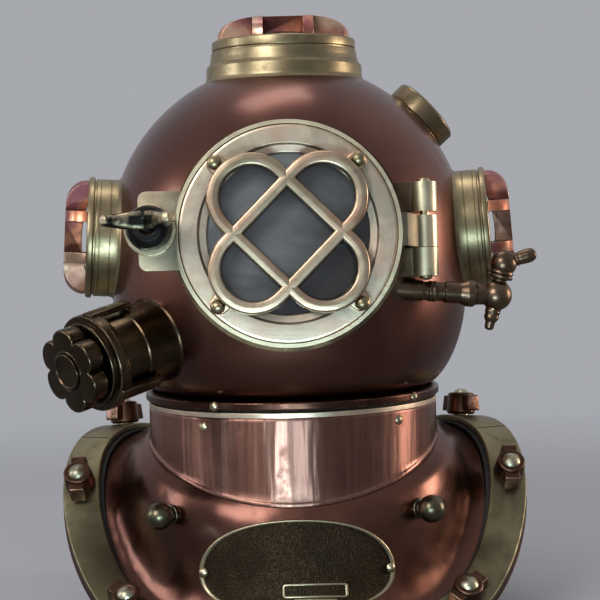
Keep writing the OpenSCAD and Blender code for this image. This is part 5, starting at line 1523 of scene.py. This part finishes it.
class HELMET_OT_clamp(Maker, bpy.types.Operator):
    """Builds the clamp's bolt, washer and wing nut"""

    bl_idname, bl_label = "helmet.clamp", "Clamp"

    def make(self, sizes):
        length = np.linspace(150, 175.6, 120)
        thread = [(4.15 + 0.3 * math.sin(h * TAU / 1.4), h) for h in length]
        bolt = [(0, 124), (3.6, 124), (4.45, 124.8), (4.45, 149.8)] + thread + [(3.4, 176.4), (0, 176.4)]
        parts = [lathe(bolt, CLAMP, 32, closed=False)]
        piece("clamp_bolt_turning", parts, "wing", "black_metal", "clamp_bolt")
        washer = [(4.7, 156.3), (18.4, 156.3, 0.5), (18.4, 159.3, 0.9), (4.7, 159.3)]
        parts = [lathe(washer, CLAMP @ move(0, -1, 0))]
        piece("clamp_washer_disc", parts, "washer", "bare_brass", "clamp_washer")

        hub = [
            (4.6, 159.4), (15.8, 159.4, 0.6, 0.4), (16.2, 163, 2, 0), (15.8, 172, 4, 0),
            (14.6, 180.6, 3.2, 0.2), (10, 183.2, 3, 0), (6.4, 183.4, 0.6, 0.3), (5.6, 182.4, 0.4),
            (5.3, 178.4), (4.6, 178.4),
        ]
        parts = [lathe(hub, CLAMP, 80)]
        wing, _ = rounded([
            (3, -8), (14.5, -5.8, 6), (23, -4, 6), (30.6, -2.8, 2.2), (33, -0.5, 1.6), (33, 5, 2),
            (30, 7.4, 2), (23, 6.6, 8), (12.5, 5, 6), (3, 5),
        ], steps=6)
        gold = 4 * np.clip((wing[:, 0] - 18) / 1.5, 0, 1) * (wing[:, 1] > -1)
        for half, splay in ((0, 52), (180, 12)):
            at = CLAMP @ move(0, 4.5, 177.4) @ turn("z", half) @ turn("y", -splay) @ turn("x", 90)
            p, quads, caps, w = slab(wing, -3.8, 3.8, 2.2, line=gold)
            p[:, 2] *= 1 + 0.8 * np.clip((19 - p[:, 0]) / 8, 0, 1) ** 1.5
            parts.append((place(at, p), quads, caps, w))
        piece("wing_nut_casting", parts, "wing", "black_metal", "wing_nut")


# Stage


class HELMET_OT_stage(bpy.types.Operator):
    """Builds the floor, the soft lamps, the pale background and the camera"""

    bl_idname, bl_label = "helmet.stage", "Floor, lamps and camera"
    bl_options = {"REGISTER", "UNDO"}

    def execute(self, context):
        sizes, colours = context.scene.helmet_sizes, context.scene.helmet_colours
        self.floor(sizes, colours)
        self.world(context, colours)
        for name, where, at, size, watts, tint in (
            ("ceiling", (-0.1, 0.25, 1.7), (0, 0, 0.35), (0.7, 0.35), 2.8, (1.0, 0.93, 0.86)),
            ("front", (-1.1, -1.8, 1.4), (0, 0, 0.25), (1.0, 1.0), 23, (1.0, 0.99, 0.97)),
            ("left", (-1.7, -0.3, 0.75), (0, 0, 0.28), (0.3, 0.8), 4.5, (0.95, 0.98, 1.0)),
            ("right", (1.6, 0.15, 0.4), (0, 0, 0.27), (0.35, 0.6), 8, (1.0, 0.82, 0.68)),
        ):
            self.lamp(name, where, at, size, watts * sizes.lamp_power, tint)
        # Low lamps that only polished metal shows, as the upright gleams on the collar.
        for where, at, size, watts, tint in (
            ((-0.11, -0.75, 0.06), (-0.11, 0, 0.1), (0.036, 0.09), 1.5, (0.6, 0.88, 1.0)),
            ((0.066, -0.75, 0.06), (0.066, 0, 0.1), (0.02, 0.09), 0.7, (0.6, 0.88, 1.0)),
            ((-0.93, -0.75, 0.06), (-0.93, 0, 0.1), (0.05, 0.09), 0.25, (0.6, 0.88, 1.0)),
        ):
            self.lamp("gleam", where, at, size, watts * sizes.lamp_power, tint)
        self.camera(context)
        return {"FINISHED"}

    def lamp(self, name, where, at, size, watts, tint):
        """Rectangular lamp that shines from one point to another and isn't seen itself. A gleam lights no
        dull surface."""
        lamp = bpy.data.lights.new(name, "AREA")
        lamp.shape, lamp.size, lamp.size_y = "RECTANGLE", *size
        lamp.energy, lamp.color = watts, tint
        shown = linked(name, lamp)
        shown.matrix_world = looking(where, at)
        shown.visible_camera, shown.visible_diffuse = False, name != "gleam"

    def floor(self, sizes, colours):
        """Disc of rings whose radius grows as the square of their number, so that it is fine near the helmet.
        It lies 0.1 mm under the rim and fades into the backdrop, and metal mirrors it darker than it is
        seen."""
        r = (np.linspace(0, 1, 25)[:, None] ** 2) * sizes.floor_radius
        a = np.arange(96) * TAU / 96
        disc = np.stack([r * np.cos(a), r * np.sin(a), 0 * r * a - 0.1 * MM], -1)
        points, quads, _, _ = grid(disc, False, True)
        mesh = bpy.data.meshes.new("floor")
        mesh.from_pydata(points.tolist(), [], quads.tolist())
        mesh.validate()
        f = Finish()
        f.shader.inputs["Specular IOR Level"].default_value = 0.0
        cloud = f.noise(2.2, 4.0, 0.5)
        tint = f.blend(cloud, tone(colours.backdrop, 0.94), tone(colours.backdrop, 1.04))
        f.raise_by(f.noise(90.0, 4.0, 0.6), 0.0004)
        x, y, _ = f.split(f.object)
        away = f.ramp((x * x + y * y) ** 0.5, 0.55, 1.5)
        rays = f.node("LightPath")
        mirrored = f.out(rays, "Is Glossy Ray")
        seen = f.out(rays, "Is Camera Ray") + mirrored * 0.3
        mesh.materials.append(f.done(tint, 0.5 + cloud * 0.2))
        pale = (*colours.backdrop, 1)
        glow, shade = (f.node("Emission", Color=pale, Strength=strength) for strength in (1.0, 0.16))
        mix = f.mixed(mirrored * 0.75, f.mixed(away * seen, f.shader, glow), shade)
        f.tree.links.new(mix.outputs[0], f.tree.nodes["Material Output"].inputs["Surface"])
        f.material.name = "floor_paint"
        linked("floor", mesh)

    def world(self, context, colours):
        """Pale background for what is seen, mirrored or looked through, and a grey dome of light for the
        rest. The room that metal mirrors is darker in front of the helmet than behind and above it."""
        world = bpy.data.worlds.new("studio")
        context.scene.world = world
        world.use_nodes = True
        f = Nodes(world.node_tree)
        rays = f.node("LightPath")
        mirrored = f.out(rays, "Is Glossy Ray").most(f.out(rays, "Is Transmission Ray"))
        seen = f.out(rays, "Is Camera Ray")
        _, y, z = f.split(f.out(f.node("TexCoord"), "Generated"))
        behind, above = f.ramp(y, -0.75, 0.55), f.ramp(z, 0.25, 0.95)
        room = (0.5 + behind * 0.45 + above * 0.25) * mirrored + seen
        pale = f.node("Background", Color=(*colours.backdrop, 1), Strength=room)
        light = f.tree.nodes["Background"]
        light.inputs["Color"].default_value = (*colours.room_light, 1)
        mix = f.mixed(mirrored.most(seen), light, pale)
        f.tree.links.new(mix.outputs[0], f.tree.nodes["World Output"].inputs["Surface"])

    def camera(self, context):
        """Camera at the photograph's place. The width of the frame, the focal length and the place in the
        frame of what lies level and straight ahead are in pixels, and the roll is in degrees."""
        frame_width, focal, across, down, roll = 600, 1622, 290, 223, 1.5
        lens = bpy.data.cameras.new("camera")
        lens.sensor_width = 36
        lens.lens = lens.sensor_width * focal / frame_width
        lens.clip_start, lens.clip_end = 0.05, 50
        shown = linked("camera", lens)
        yaw, pitch = (math.atan((frame_width / 2 - pixel) / focal) for pixel in (across, down))
        shown.matrix_world = Matrix.Translation((0, -1.298, 0.312))
        for angle, axis in ((-yaw, "Z"), (math.pi / 2 - pitch, "X"), (-math.radians(roll), "Z")):
            shown.matrix_world = shown.matrix_world @ Matrix.Rotation(angle, 4, axis)
        context.scene.camera = shown
        context.scene.view_settings.view_transform = "Standard"


def looking(where, at):
    """Place of a lamp that shines from one point to another."""
    z = unit(np.array(where, float) - np.array(at, float))
    x = unit(np.cross((0, 0, 1), z))
    m = stood(where, x, z)
    return Matrix(m.tolist())


class HELMET_PT_build(bpy.types.Panel):
    """Lists the helmet's operators and settings"""

    bl_label, bl_idname = "Diving helmet", "HELMET_PT_build"
    bl_space_type, bl_region_type, bl_category = "VIEW_3D", "UI", "Helmet"

    def draw(self, context):
        for operator in OPERATORS:
            self.layout.operator(operator.bl_idname)
        scene = context.scene
        for title, group in (("Sizes", scene.helmet_sizes), ("Colours", scene.helmet_colours)):
            box = self.layout.box()
            box.label(text=title)
            for key in type(group).__annotations__:
                box.prop(group, key)


OPERATORS = (
    HELMET_OT_breastplate, HELMET_OT_rim, HELMET_OT_nameplate, HELMET_OT_lanyard_studs, HELMET_OT_bonnet,
    HELMET_OT_windows, HELMET_OT_cup_and_goosenecks, HELMET_OT_exhaust_valve, HELMET_OT_spitcock,
    HELMET_OT_faceplate, HELMET_OT_clamp, HELMET_OT_stage,
)
CLASSES = (HelmetColours, HelmetSizes, *OPERATORS, HELMET_PT_build)


def register():
    for cls in CLASSES:
        bpy.utils.register_class(cls)
    bpy.types.Scene.helmet_colours = PointerProperty(type=HelmetColours)
    bpy.types.Scene.helmet_sizes = PointerProperty(type=HelmetSizes)


def unregister():
    del bpy.types.Scene.helmet_sizes, bpy.types.Scene.helmet_colours
    for cls in reversed(CLASSES):
        bpy.utils.unregister_class(cls)


def main():
    register()
    for operator in OPERATORS:
        group, name = operator.bl_idname.split(".")
        getattr(getattr(bpy.ops, group), name)()


if __name__ == "__main__":
    main()
